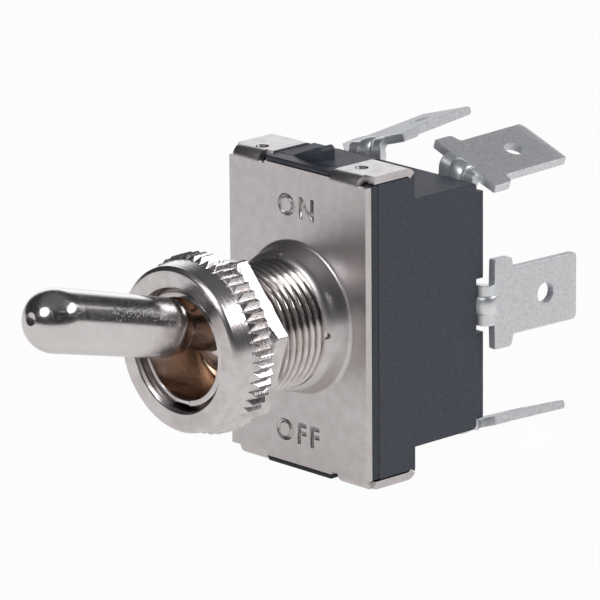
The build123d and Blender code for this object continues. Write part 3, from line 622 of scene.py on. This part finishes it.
# %% Softened copies
def softened(node, name, width, cutters=()):
    """A copy of a CAD node's mesh with whole flat faces, rounded sharp edges and the cutters carved out."""
    obj = bpy.data.objects.new(name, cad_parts[node].data.copy())
    bpy.context.scene.collection.objects.link(obj)
    obj.data.materials.clear()
    clean(obj, flat=True)
    smooth(obj, 180)
    mod = obj.modifiers.new("soft edges", "BEVEL")
    mod.width, mod.segments, mod.limit_method, mod.angle_limit = width * MM, 3, "ANGLE", radians(30)
    for cutter in cutters:
        carve(obj, cutter)
    if cutters:
        smooth(obj, 40)
    obj.modifiers.new("flat stays flat", "WEIGHTED_NORMAL").keep_sharp = True
    return obj


# %% [markdown]
# The real plate has words struck into it with a die. A bump map of letters would vanish at a grazing angle,
# so two generic words are cut in: Blender's own text, given a depth, turned to face forward and carved
# about a seventh of a millimetre into the plate.

# %% Struck words
WORD_X, WORD_HEIGHT, WORD_DEPTH, STROKE, DIE_HALF = -0.1, 2.0, 0.14, 0.09, 0.5


def struck_word(word, z):
    """Letters as closed solids, from in front of the plate to WORD_DEPTH behind its front face."""
    curve = bpy.data.curves.new(word, "FONT")
    curve.body, curve.size, curve.align_x, curve.align_y = word, WORD_HEIGHT * 1.38 * MM, "CENTER", "CENTER"
    curve.extrude, curve.offset = DIE_HALF * MM, STROKE * MM
    curve.resolution_u, curve.space_character = 4, 1.3
    text = bpy.data.objects.new(word, curve)
    bpy.context.scene.collection.objects.link(text)
    bpy.context.view_layer.update()
    mesh = bpy.data.meshes.new_from_object(text.evaluated_get(bpy.context.evaluated_depsgraph_get()))
    bpy.data.objects.remove(text)
    # text is drawn in X and Y and faces +Z; on the plate it faces -Y and its top is up
    place = Matrix.Translation((WORD_X * MM, (WORD_DEPTH - DIE_HALF) * MM, z * MM))
    mesh.transform(place @ Matrix.Rotation(pi / 2, 4, "X"))
    obj = bpy.data.objects.new(word + "_cut", mesh)
    bpy.context.scene.collection.objects.link(obj)
    return clean(obj)


# %% [markdown]
# The plate is steel strip with a satin nickel finish. Brushed metal is often drawn with long scratches.
# This one was only rolled and plated, so it has a very fine grain, a little longer along the plate's
# height, and faint clouds where the plating is thicker.

# %% Plate finish
def satin_nickel():
    """Relief = grain + cloud; their mean picks the colour, and the cloud alone adds to the roughness."""
    sh = Shader("satin_nickel", metallic=1.0)
    grain = sh.noise(0.10, 3.0, stretch=(1.0, 1.0, 3.0))
    cloud = sh.noise(1.2, 5.0, 0.6)
    sh.bump(grain * 0.8 + cloud * 0.25, 0.008)
    colour = sh.mix(sh.ramp(cloud * 0.5 + grain * 0.5, 0.3, 0.7), (0.72, 0.69, 0.695), (0.60, 0.565, 0.565))
    return sh.look(colour, 0.28 + 0.12 * cloud)


words = (struck_word("ON", 10.25), struck_word("OFF", -11.04))
plate = softened("front_plate", "front_plate_pressed", 0.09, words)
finish_piece(plate, "housing", "front_plate", satin_nickel())


# %% [markdown]
# The case and the front insulator are black phenolic mouldings. Black in a photograph is never black: this
# is a dark blue grey, not quite matte, with a very fine speckle of filler and a skin that is a touch rough.
# One plain grey would pass from afar, but close by it looks like paint. One function makes all three
# mouldings, the hidden carriage too. The insulator is the blacker and the rougher one.

# %% Mouldings
def phenolic(name, tone, rough, relief=0.012):
    """A grey between two blues of the given tone: speckle and grain choose how dark, place by place."""
    sh = Shader(name)
    filler = sh.speckle(0.11)
    grain = sh.noise(0.13, 3.0, 0.7)
    skin = sh.noise(0.35, 5.0, 0.7)
    sh.bump(skin * 0.7 + filler * 0.3, relief)
    dark = (tone * 0.80, tone * 0.86, tone * 1.10)
    pale = (tone * 1.15, tone * 1.26, tone * 1.66)
    colour = sh.mix(sh.ramp(filler * 0.6 + grain, 0.45, 1.15), dark, pale)
    return sh.look(colour, rough + 0.12 * skin)


case = softened("case", "case_moulded", 0.18)
finish_piece(case, "housing", "case", phenolic("phenolic_case", 0.098, 0.46))
insulator = softened("front_insulator", "front_insulator_moulded", 0.16)
black = phenolic("black_insulation", 0.060, 0.36, relief=0.035)
finish_piece(insulator, "housing", "front_insulator", black)


# %% [markdown]
# Each terminal is one strip of tinned brass. On the bench it starts flat: a foot with a hole for its
# contact, a narrow neck, a shoulder and a 6.3 mm blade with chamfered corners. Extruding that outline and
# bending it with modifiers would stretch it. So the strip is swept: at each station of its centre line
# stands a rounded rectangle as wide as the flat outline is there. The blade's stations come first.

# %% Blade outline
STRIP_T, EDGE_R, SHOULDER_W, SHOULDER_L, SHOULDER_CORNER = 0.81, 0.07, 8.5, 2.15, 0.4
BLADE_W, TIP_Y, TIP_CORNER, LEAD_IN_L, LEAD_IN_T = 6.3, 10.22, 0.5, 0.55, 0.2


def blade_stations():
    """Rows (y, half width, half thickness) along the flat blade, from the shoulder's edge to the tip."""
    h, shoulder, blade = STRIP_T / 2, SHOULDER_W / 2, BLADE_W / 2
    rows = [(0.0, shoulder - 0.12, h), (0.05, shoulder - 0.03, h), (0.12, shoulder, h)]
    rows += [(y, shoulder, h) for y in np.linspace(0.3, SHOULDER_L - 0.45, 6)]
    for t in np.radians(np.linspace(0, 90, 7))[1:]:
        y = SHOULDER_L - 0.45 + SHOULDER_CORNER * np.sin(t)
        rows.append((y, shoulder - SHOULDER_CORNER * (1 - np.cos(t)), h))
    rows += [(SHOULDER_L + y, blade + w, h) for y, w in ((0.05, 0.30), (0.10, 0.1), (0.25, 0.0))]
    rows += [(y, blade, h) for y in np.linspace(SHOULDER_L + 0.6, TIP_Y - LEAD_IN_L, 9)]
    for t in np.radians(np.linspace(0, 78, 8)):
        y = TIP_Y - TIP_CORNER * (1 - np.sin(t))
        lead_in = LEAD_IN_T * (y - TIP_Y + LEAD_IN_L) / LEAD_IN_L
        rows.append((y, blade - TIP_CORNER * (1 - np.cos(t)), h - lead_in))
    return np.array(rows)


print("blade", len(blade_stations()), "stations,", BLADE_W, "by", STRIP_T, "mm")


# %% [markdown]
# Inside the case the strip lies flat on the floor and is then bent square, straight to the back. The foot
# and the neck don't share one middle line, so the foot's last stations ease from one line to the other.
# None of it can be seen, and a plain block would do there. But the part may be opened one day, and then
# each terminal is whole.

# %% Foot and square bend
BODY_Y, FLOOR_Y, FOOT_W, FOOT_BEND_R = 14.05, 12.3, 3.6, 0.53


def foot_and_bend(corner, across, foot_way, foot_from):
    """Centres of the foot, how far each has eased, then centres and directions of the quarter circle."""
    reach = (corner - foot_from) @ foot_way
    shift = across * ((np.array(foot_from) - corner) @ across)
    bend = reach - FOOT_BEND_R
    d = np.concatenate([np.linspace(0, bend - 0.5, 9), np.linspace(bend - 0.3, bend, 4)])
    ease = np.clip((d - d[8]) / (d[-1] - d[8]), 0, 1)[:, None]
    foot = corner + foot_way * (d - reach)[:, None] + shift * (1 - ease)
    a = np.linspace(0, pi / 2, 9)[1:, None]
    square = corner + foot_way * FOOT_BEND_R * (np.sin(a) - 1) + Y_WAY * FOOT_BEND_R * (1 - np.cos(a))
    return foot, ease, square, foot_way * np.cos(a) + Y_WAY * np.sin(a)


# %% [markdown]
# Then the strip is carried out through the wall of the case, and bent outwards in an S while it twists. A
# curve object could carry it, but the bead will need to know where the wall and the S end. So the centre
# line is worked out here, as five stretches in a row. Along each one there is a forward direction and a
# direction across, and the second turns evenly on the S: that is the twist.

# %% Centre line
BEND_PULL = 1.6


def hermite(p0, d0, p1, d1, t):
    """Cubic curve with given ends and end directions: positions and directions at the parameters t."""
    t = t[:, None]
    place = p0 + (p1 - p0) * (3 * t**2 - 2 * t**3) + d0 * (t**3 - 2 * t**2 + t) + d1 * (t**3 - t**2)
    slope = (p1 - p0) * (6 * t - 6 * t**2) + d0 * (3 * t**2 - 4 * t + 1) + d1 * (3 * t**2 - 2 * t)
    return place, slope / np.linalg.norm(slope, axis=1)[:, None]


def centre_line(across, foot_way, foot_from, wall, neck_w, blade_at, turned):
    """Stations as rows: centre, forward, across, half width, half thickness; and where each part ends.

    The parts are the foot, the square bend, straight through the wall, the S as a cubic, and the blade.
    """
    across, foot_way, wall, root = (np.array(v, float) for v in (across, foot_way, wall, blade_at))
    corner = wall - Y_WAY * (wall[1] - FLOOR_Y - STRIP_T / 2)
    foot, ease, square, square_way = foot_and_bend(corner, across, foot_way, foot_from)
    y = np.linspace(corner[1] + FOOT_BEND_R, BODY_Y - 0.07, 4)[1:-1, None]
    through = corner + Y_WAY * (y - corner[1])
    out_way, out_across = turned @ Y_WAY, turned @ X_WAY
    start, stop = wall - Y_WAY * 0.07, root - out_way * 0.06
    pull = BEND_PULL * np.linalg.norm(stop - start)
    t = np.linspace(0, 1, 30)
    bent, bent_way = hermite(start, Y_WAY * pull, stop, out_way * pull, t)
    rows = blade_stations()
    stretches = (foot, square, through, bent, root + rows[:, :1] * out_way)
    n = [len(stretch) for stretch in stretches]
    way = np.vstack([np.tile(foot_way, (n[0], 1)), square_way, np.tile(Y_WAY, (n[2], 1)), bent_way,
                     np.tile(out_way, (n[4], 1))])
    side = np.vstack([np.tile(across, (sum(n[:3]), 1)), across * (1 - t[:, None]) + out_across * t[:, None],
                      np.tile(out_across, (n[4], 1))])
    side -= way * np.sum(side * way, 1)[:, None]
    side /= np.linalg.norm(side, axis=1)[:, None]
    foot_half = FOOT_W / 2 + (neck_w - FOOT_W) / 2 * ease[:, 0]
    width = np.concatenate([foot_half, np.full(sum(n[1:4]), neck_w / 2), rows[:, 1]])
    thick = np.concatenate([np.full(sum(n[:4]), STRIP_T / 2), rows[:, 2]])
    return np.vstack(stretches), way, side, width, thick, np.cumsum(n)


# %% [markdown]
# A round bead is pressed along the bend to stiffen it. It could be a second body laid on top, but the press
# lifts both faces of the strip at once. So the sections get more columns in the middle, and the bead is a
# height that is added to them: half an ellipse across, rounded at both ends.

# %% Sections and bead
BEAD_HALF, BEAD_RISE, BEAD_START, BEAD_PAST, BEAD_HEEL, BEAD_NOSE = 0.92, 0.33, 0.12, 0.22, 0.5, 0.95


def sections(width, thick):
    """Grids x and z of the sections: across the top, a round edge, back along the bottom, a round edge."""
    middle = np.broadcast_to(np.sin(np.linspace(-pi / 2, pi / 2, 17)) * BEAD_HALF, (len(width), 17))
    inner = (width - EDGE_R)[:, None]
    rest = BEAD_HALF + (inner - BEAD_HALF) * np.linspace(0, 1, 7)[1:]
    xs = np.hstack([-rest[:, ::-1], middle, rest])
    q = np.radians(np.arange(1, 8) * 22.5)
    top = 0 * xs + thick[:, None]
    edge = (thick[:, None] - EDGE_R) * np.sign(np.round(np.cos(q), 6)) + EDGE_R * np.cos(q)
    x = np.hstack([xs, inner + EDGE_R * np.sin(q), xs[:, ::-1], -inner - EDGE_R * np.sin(q)])
    return x, np.hstack([top, edge, -top, -edge])


def bead(centre, x, heel_row, blade_row):
    """Lift at every point: quick to rise behind the wall, and round-nosed on the blade's root."""
    along = np.concatenate([[0], np.cumsum(np.linalg.norm(np.diff(centre, axis=0), axis=1))])
    first, last = along[heel_row] + BEAD_START, along[blade_row] + BEAD_PAST
    heel = 1 - ((first + BEAD_HEEL - along) / BEAD_HEEL).clip(0) ** 2
    nose = 1 - ((along - last + BEAD_NOSE) / BEAD_NOSE).clip(0) ** 2
    rise = np.sqrt(np.clip(heel, 0, 1)) * np.sqrt(np.clip(nose, 0, 1))
    return BEAD_RISE * rise[:, None] * np.sqrt(np.clip(1 - (x / BEAD_HALF) ** 2, 0, 1))


# %% [markdown]
# Now the sweep itself: a point is the station's centre plus x times the direction across plus z times the
# strip's normal. The two ends close on their middle line. The blade's hole and the hole for the contact are
# drilled last, square to the strip where they are. A mirrored terminal is the same points with a sign
# changed.

# %% Terminal strip
HOLE_R, HOLE_FROM_TIP, STUD_R = 1.0, 4.0, 0.6


def rotation(axis, degrees):
    """Turn about one axis as a 3 by 3 array."""
    return np.array(Matrix.Rotation(radians(degrees), 3, axis))


def terminal_strip(name, shape, blade_at, turned, mirrored):
    """Sweep: point = centre + x * side + z * (side x way), for each station and column of its section."""
    centre, way, side, width, thick, ends = centre_line(**shape, blade_at=blade_at, turned=turned)
    x, z = sections(width, thick)
    z = z + bead(centre, x, ends[2], ends[3])
    up = np.cross(side, way)
    x, z = np.vstack([x[:1], x, x[-1:]]), np.vstack([0 * z[:1], z, 0 * z[-1:]])
    centre, side, up = (np.vstack([v[:1], v, v[-1:]]) for v in (centre, side, up))
    pts = centre[:, None] + x[..., None] * side[:, None] + z[..., None] * up[:, None]
    flip = np.array(mirrored, float)
    strip = surface(name, pts * flip, wrap=(False, True))
    hole = blade_at + turned @ (Y_WAY * (TIP_Y - HOLE_FROM_TIP))
    stud = shape["foot_from"] + np.array(shape["foot_way"]) * FOOT_W / 2
    for middle, axes, radius in ((hole, turned @ rotation("X", 90), HOLE_R), (stud, np.eye(3), STUD_R)):
        carve(strip, surface("drill", rod(middle, axes, radius, 2.0, 40) * flip, wrap=(False, True)))
    return smooth(strip, 30)


# %% [markdown]
# The blades are dipped in tin, which sets to a dull blue-grey white with a soft spangle and picks up fine
# scratches along the strip. It is metal, but so cloudy that a fully metallic shader looks too dark, so it
# is only four fifths metallic. The press tool burnishes the neck, which is a little smoother. Its colour is
# also made lighter there, as a painted highlight.

# %% Tin
TIN_TONE, NECK_Y0, NECK_Y1 = 0.98, 15.0, 15.8


def matte_tin():
    """Spangle and scratches pick a tone from low to high; the neck mask, 1 there and 0 past it, paints a
    highlight.
    """
    sh = Shader("matte_tin", metallic=0.8)
    spangle = sh.noise(0.28, 5.0, 0.7)
    scratch = sh.noise(0.07, 2.0, stretch=(1.0, 9.0, 1.0))
    sh.bump(spangle * 0.7 + scratch * 0.5, 0.008)
    burnish_and_painted_sheen = sh.ramp(sh.y, NECK_Y1, NECK_Y0)
    low, high = TIN_TONE * 0.80, TIN_TONE * 1.05
    colour = sh.mix(sh.ramp(spangle * 0.75 + scratch * 0.25, 0.30, 0.66),
                    (low * 0.96, low * 0.98, low * 1.02), (high * 0.97, high * 0.98, high))
    # painted highlight: on the neck the colour is lightened towards high
    colour = sh.mix(burnish_and_painted_sheen * 0.8, colour, (high * 0.95, high * 0.98, high * 1.03))
    return sh.look(colour, 0.46 + 0.2 * spangle - 0.18 * burnish_and_painted_sheen)


# %% [markdown]
# Two shapes serve all six. The four end terminals leave the case near its top and bottom, the two middle
# ones leave it at its sides. A Mirror modifier could make the far ones, but each terminal is a piece of its
# own with a name of its own. The top left blade was bent a little further than its neighbours, as such
# blades are, so it has a turn of its own.

# %% Six terminals
STUD_X, STUD_Z, END_X, FOOT_Y = 5.4, 7.46, 5.9, FLOOR_Y + STRIP_T / 2
END = dict(across=(1, 0, 0), foot_way=(0, 0, 1), foot_from=(STUD_X, FOOT_Y, STUD_Z - FOOT_W / 2),
           wall=(END_X, BODY_Y, 10.8), neck_w=4.3)
MIDDLE = dict(across=(0, 0, -1), foot_way=(1, 0, 0), foot_from=(STUD_X - FOOT_W / 2 + 0.1, FOOT_Y, 0),
              wall=(8.0, BODY_Y, 0), neck_w=3.85)


def placed(yaw, pitch, roll):
    """Turn of a blade: rolled about its length, then pitched, then yawed."""
    return rotation("Z", yaw) @ rotation("X", pitch) @ rotation("Y", roll)


end_turn, left_turn, middle_turn = placed(-1.3, 1.9, 19.6), placed(-0.6, 5.5, 17.0), placed(-3.2, 0, 90)
end_root, left_root, middle_root = (END_X, 15.43, 12.35), (END_X, 15.30, 12.45), (9.4, 15.50, 0)
TERMINALS = {
    "top_right": (END, end_root, end_turn, (1, 1, 1)),
    "top_left": (END, left_root, left_turn, (-1, 1, 1)),
    "middle_right": (MIDDLE, middle_root, middle_turn, (1, 1, 1)),
    "middle_left": (MIDDLE, middle_root, middle_turn, (-1, 1, 1)),
    "bottom_right": (END, end_root, end_turn, (1, 1, -1)),
    "bottom_left": (END, end_root, end_turn, (-1, 1, -1)),
}
TIN_FINISH = matte_tin()
for place, how in TERMINALS.items():
    strip = terminal_strip(f"terminal_{place}_strip", *how)
    finish_piece(strip, "housing", f"terminal_{place}", TIN_FINISH)


# %% [markdown]
# What is inside can't be seen, so its solids stay as they are. They still get true finishes, because the
# part may be opened or cut one day: a steel pin, a brass seat, a moulded carriage, silver contacts and
# bowed springs. A node's name says what it is, so one table of names and finishes is enough.

# %% Inner parts
def plain_metal(name, colour, rough):
    """One metal with soft stains and a fine grain."""
    sh = Shader(name, metallic=1.0)
    stain = sh.noise(0.8, 4.0)
    sh.bump(sh.noise(0.075, 2.0), 0.004)
    return sh.look(sh.mix(stain, colour, tuple(c * 0.75 for c in colour)), rough + 0.15 * stain)


silver = plain_metal("contact_silver", (0.86, 0.84, 0.80), 0.22)
INNER = {
    "lever_pivot_pin": plain_metal("pin_steel", (0.56, 0.56, 0.57), 0.25),
    "lever_ball_seat": plain_metal("plain_brass", (0.76, 0.58, 0.28), 0.30),
    "slide_carriage": phenolic("carriage_moulding", 0.10, 0.50),
    "contact_stud": silver,
    "bridge_contact": silver,
    "leaf_spring": plain_metal("spring_metal", (0.66, 0.50, 0.34), 0.28),
}
for node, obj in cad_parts.items():
    for start, finish in INNER.items():
        if node.startswith(start):
            obj.data.materials.clear()
            obj.data.materials.append(finish)
            print(node, finish.name)


# %% [markdown]
# The photograph was taken with a long lens from the front right and a little above. A camera could be set
# by eye, but then no edge quite meets its place. Here the direction, roll, distance and lens were worked
# out together, so that the plate's corners, the nuts and the blades fall on the same points of a 600 by 600
# image.

# %% Camera
CAM_AZ, CAM_EL, CAM_ROLL = radians(46.528), radians(15.941), radians(-0.453)
IMAGE_PX, FOCAL_PX, CAM_DIST, SHIFT, SENSOR = 600, 6505.5, 588.69, (0.214, 1.593), 36.0


def camera_axes():
    """Right, up and backward directions of the camera, after its roll."""
    back = np.array([np.sin(CAM_AZ) * np.cos(CAM_EL), -np.cos(CAM_AZ) * np.cos(CAM_EL), np.sin(CAM_EL)])
    right = np.array([np.cos(CAM_AZ), np.sin(CAM_AZ), 0])
    up = np.cross(back, right)
    c, s = np.cos(CAM_ROLL), np.sin(CAM_ROLL)
    return c * right + s * up, c * up - s * right, back


right, up, back = camera_axes()
spot = (SHIFT[0] * right + SHIFT[1] * up + CAM_DIST * back) * MM
camera = bpy.data.objects.new("camera", bpy.data.cameras.new("camera"))
camera.data.sensor_width, camera.data.lens = SENSOR, FOCAL_PX / IMAGE_PX * SENSOR
camera.data.clip_start, camera.data.clip_end = 0.01, 20.0
turned_by = Matrix([[float(axis[i]) for axis in (right, up, back)] for i in range(3)]).to_4x4()
camera.matrix_world = Matrix.Translation([float(v) for v in spot]) @ turned_by
bpy.context.scene.collection.objects.link(camera)
bpy.context.scene.camera = camera
print("camera", [round(float(v), 4) for v in spot], "lens", round(camera.data.lens, 2))


# %% [markdown]
# Bright metal is a picture of the room, and half of this room is the floor. To the camera the floor is
# white, as in a product photograph, to mirrors it is a pale sheet, and for all other light it is plain
# matte, so it keeps the switch's shadow. Light Path tells the three apart. Whitening it with more light
# would bleach the switch.

# %% Floor
FLOOR_Z, FLOOR_HALF = CAD_BOX[0][2] / MM - 0.05, 3000.0
FLOOR_GREY, SHEET_LIGHT, SHEET_SHARE, WHITE_SHARE = 0.86, 1.15, 0.5, 0.965


def floor_material():
    """Nearly white to the camera, pale to mirrors, and a plain matte floor for all other light."""
    mat = bpy.data.materials.new("pale_floor")
    mat.use_nodes = True
    tree = Tree(mat.node_tree)
    matte = mat.node_tree.nodes["Principled BSDF"]
    matte.inputs["Base Color"].default_value = (FLOOR_GREY, FLOOR_GREY, FLOOR_GREY, 1)
    matte.inputs["Roughness"].default_value = 0.9
    path = tree.node("ShaderNodeLightPath").outputs
    white = tree.node("ShaderNodeEmission", {}, {"Color": (1, 1, 1, 1), "Strength": 1.0}).outputs[0]
    sheet = tree.node("ShaderNodeEmission", {}, {"Color": (1.0, 0.98, 0.965, 1), "Strength": SHEET_LIGHT})
    mirrored = Num(tree, path["Is Glossy Ray"]) * SHEET_SHARE
    seen = Num(tree, path["Is Camera Ray"]) * WHITE_SHARE
    dimmed = tree.node("ShaderNodeMixShader", {}, {0: mirrored, 1: matte.outputs[0], 2: sheet.outputs[0]})
    shader = tree.node("ShaderNodeMixShader", {}, {0: seen, 1: dimmed.outputs[0], 2: white})
    tree.feed(mat.node_tree.nodes["Material Output"].inputs[0], shader.outputs[0])
    return mat


ends = np.linspace(-FLOOR_HALF, FLOOR_HALF, 9)
grid = np.stack(np.broadcast_arrays(ends[:, None], ends[None], FLOOR_Z), -1)
floor = surface("floor", grid, wrap=(False, False))
floor.data.materials.append(floor_material())
print("floor at", round(FLOOR_Z, 2), "mm")


# %% [markdown]
# Two soft lamps light the switch, one high behind it and one high in front. Point lamps would leave small
# hard dots on every bright edge. A lamp's place can be read from a photograph: each highlight says which
# way the light is mirrored by the surface it sits on. Both are oval area lamps, whose reflections have no
# corners.

# %% Lamps
def lamp(name, towards, distance, size, radiance):
    """Oval area lamp seen from the switch in the direction towards; its power is radiance * pi * area."""
    direction = Vector(towards).normalized()
    data = bpy.data.lights.new(name, "AREA")
    data.shape, data.size, data.size_y = "ELLIPSE", size[0] * MM, size[1] * MM
    data.energy = radiance * pi * (pi / 4 * data.size * data.size_y)
    obj = bpy.data.objects.new(name, data)
    obj.location = direction * distance * MM
    obj.rotation_euler = (-direction).to_track_quat("-Z", "Y").to_euler()
    bpy.context.scene.collection.objects.link(obj)
    print(name, [round(v, 3) for v in direction], round(data.energy, 2), "W")


lamp("soft_lamp_behind", towards=(0.56, 0.55, 0.62), distance=600, size=(430, 170), radiance=6.2)
lamp("soft_lamp_front", towards=(0.02, -0.77, 0.64), distance=600, size=(300, 280), radiance=4.3)


# %% [markdown]
# The rest of the room could be a picture, but a small formula of direction does it: a dim grey, a little
# brighter overhead, plus a soft-edged white card low behind the switch on its left. The card is a patch
# where the direction is within some angle of its middle, and a dot product measures that.

# %% Room
ROOM_DIM, OVERHEAD, CARD, CARD_WAY = 0.04, 0.10, 1.3, (-0.70, 0.67, 0.16)
bpy.context.scene.world = bpy.data.worlds.new("room")
bpy.context.scene.world.use_nodes = True
room = Tree(bpy.context.scene.world.node_tree)
room.tree.nodes.clear()
look = room.node("ShaderNodeTexCoord").outputs["Generated"]
height = Num(room, room.node("ShaderNodeSeparateXYZ", {}, {0: look}).outputs["Z"])


def card(towards, inner, outer):
    """1 inside the angle inner of the direction towards, 0 outside the angle outer, in degrees."""
    middle = tuple(Vector(towards).normalized())
    dot = room.node("ShaderNodeVectorMath", {"operation": "DOT_PRODUCT"}, {0: look, 1: middle})
    low, high = (float(np.cos(np.radians(angle))) for angle in (outer, inner))
    return room.ramp(Num(room, dot.outputs["Value"]), low, high)


light = ROOM_DIM + OVERHEAD * room.ramp(height, 0.6, 0.95) + CARD * card(CARD_WAY, 12, 27)
shade = room.node("ShaderNodeBackground", {}, {"Color": (0.97, 0.98, 1.0, 1), "Strength": light}).outputs[0]
white = room.node("ShaderNodeBackground", {}, {"Color": (1, 1, 1, 1), "Strength": 1.0}).outputs[0]
eye = room.node("ShaderNodeLightPath").outputs["Is Camera Ray"]
both = room.node("ShaderNodeMixShader", {}, {0: eye, 1: shade, 2: white}).outputs[0]
room.node("ShaderNodeOutputWorld", {}, {0: both})
bpy.context.scene.view_settings.view_transform = "Standard"
print("room", len(room.tree.nodes), "nodes")
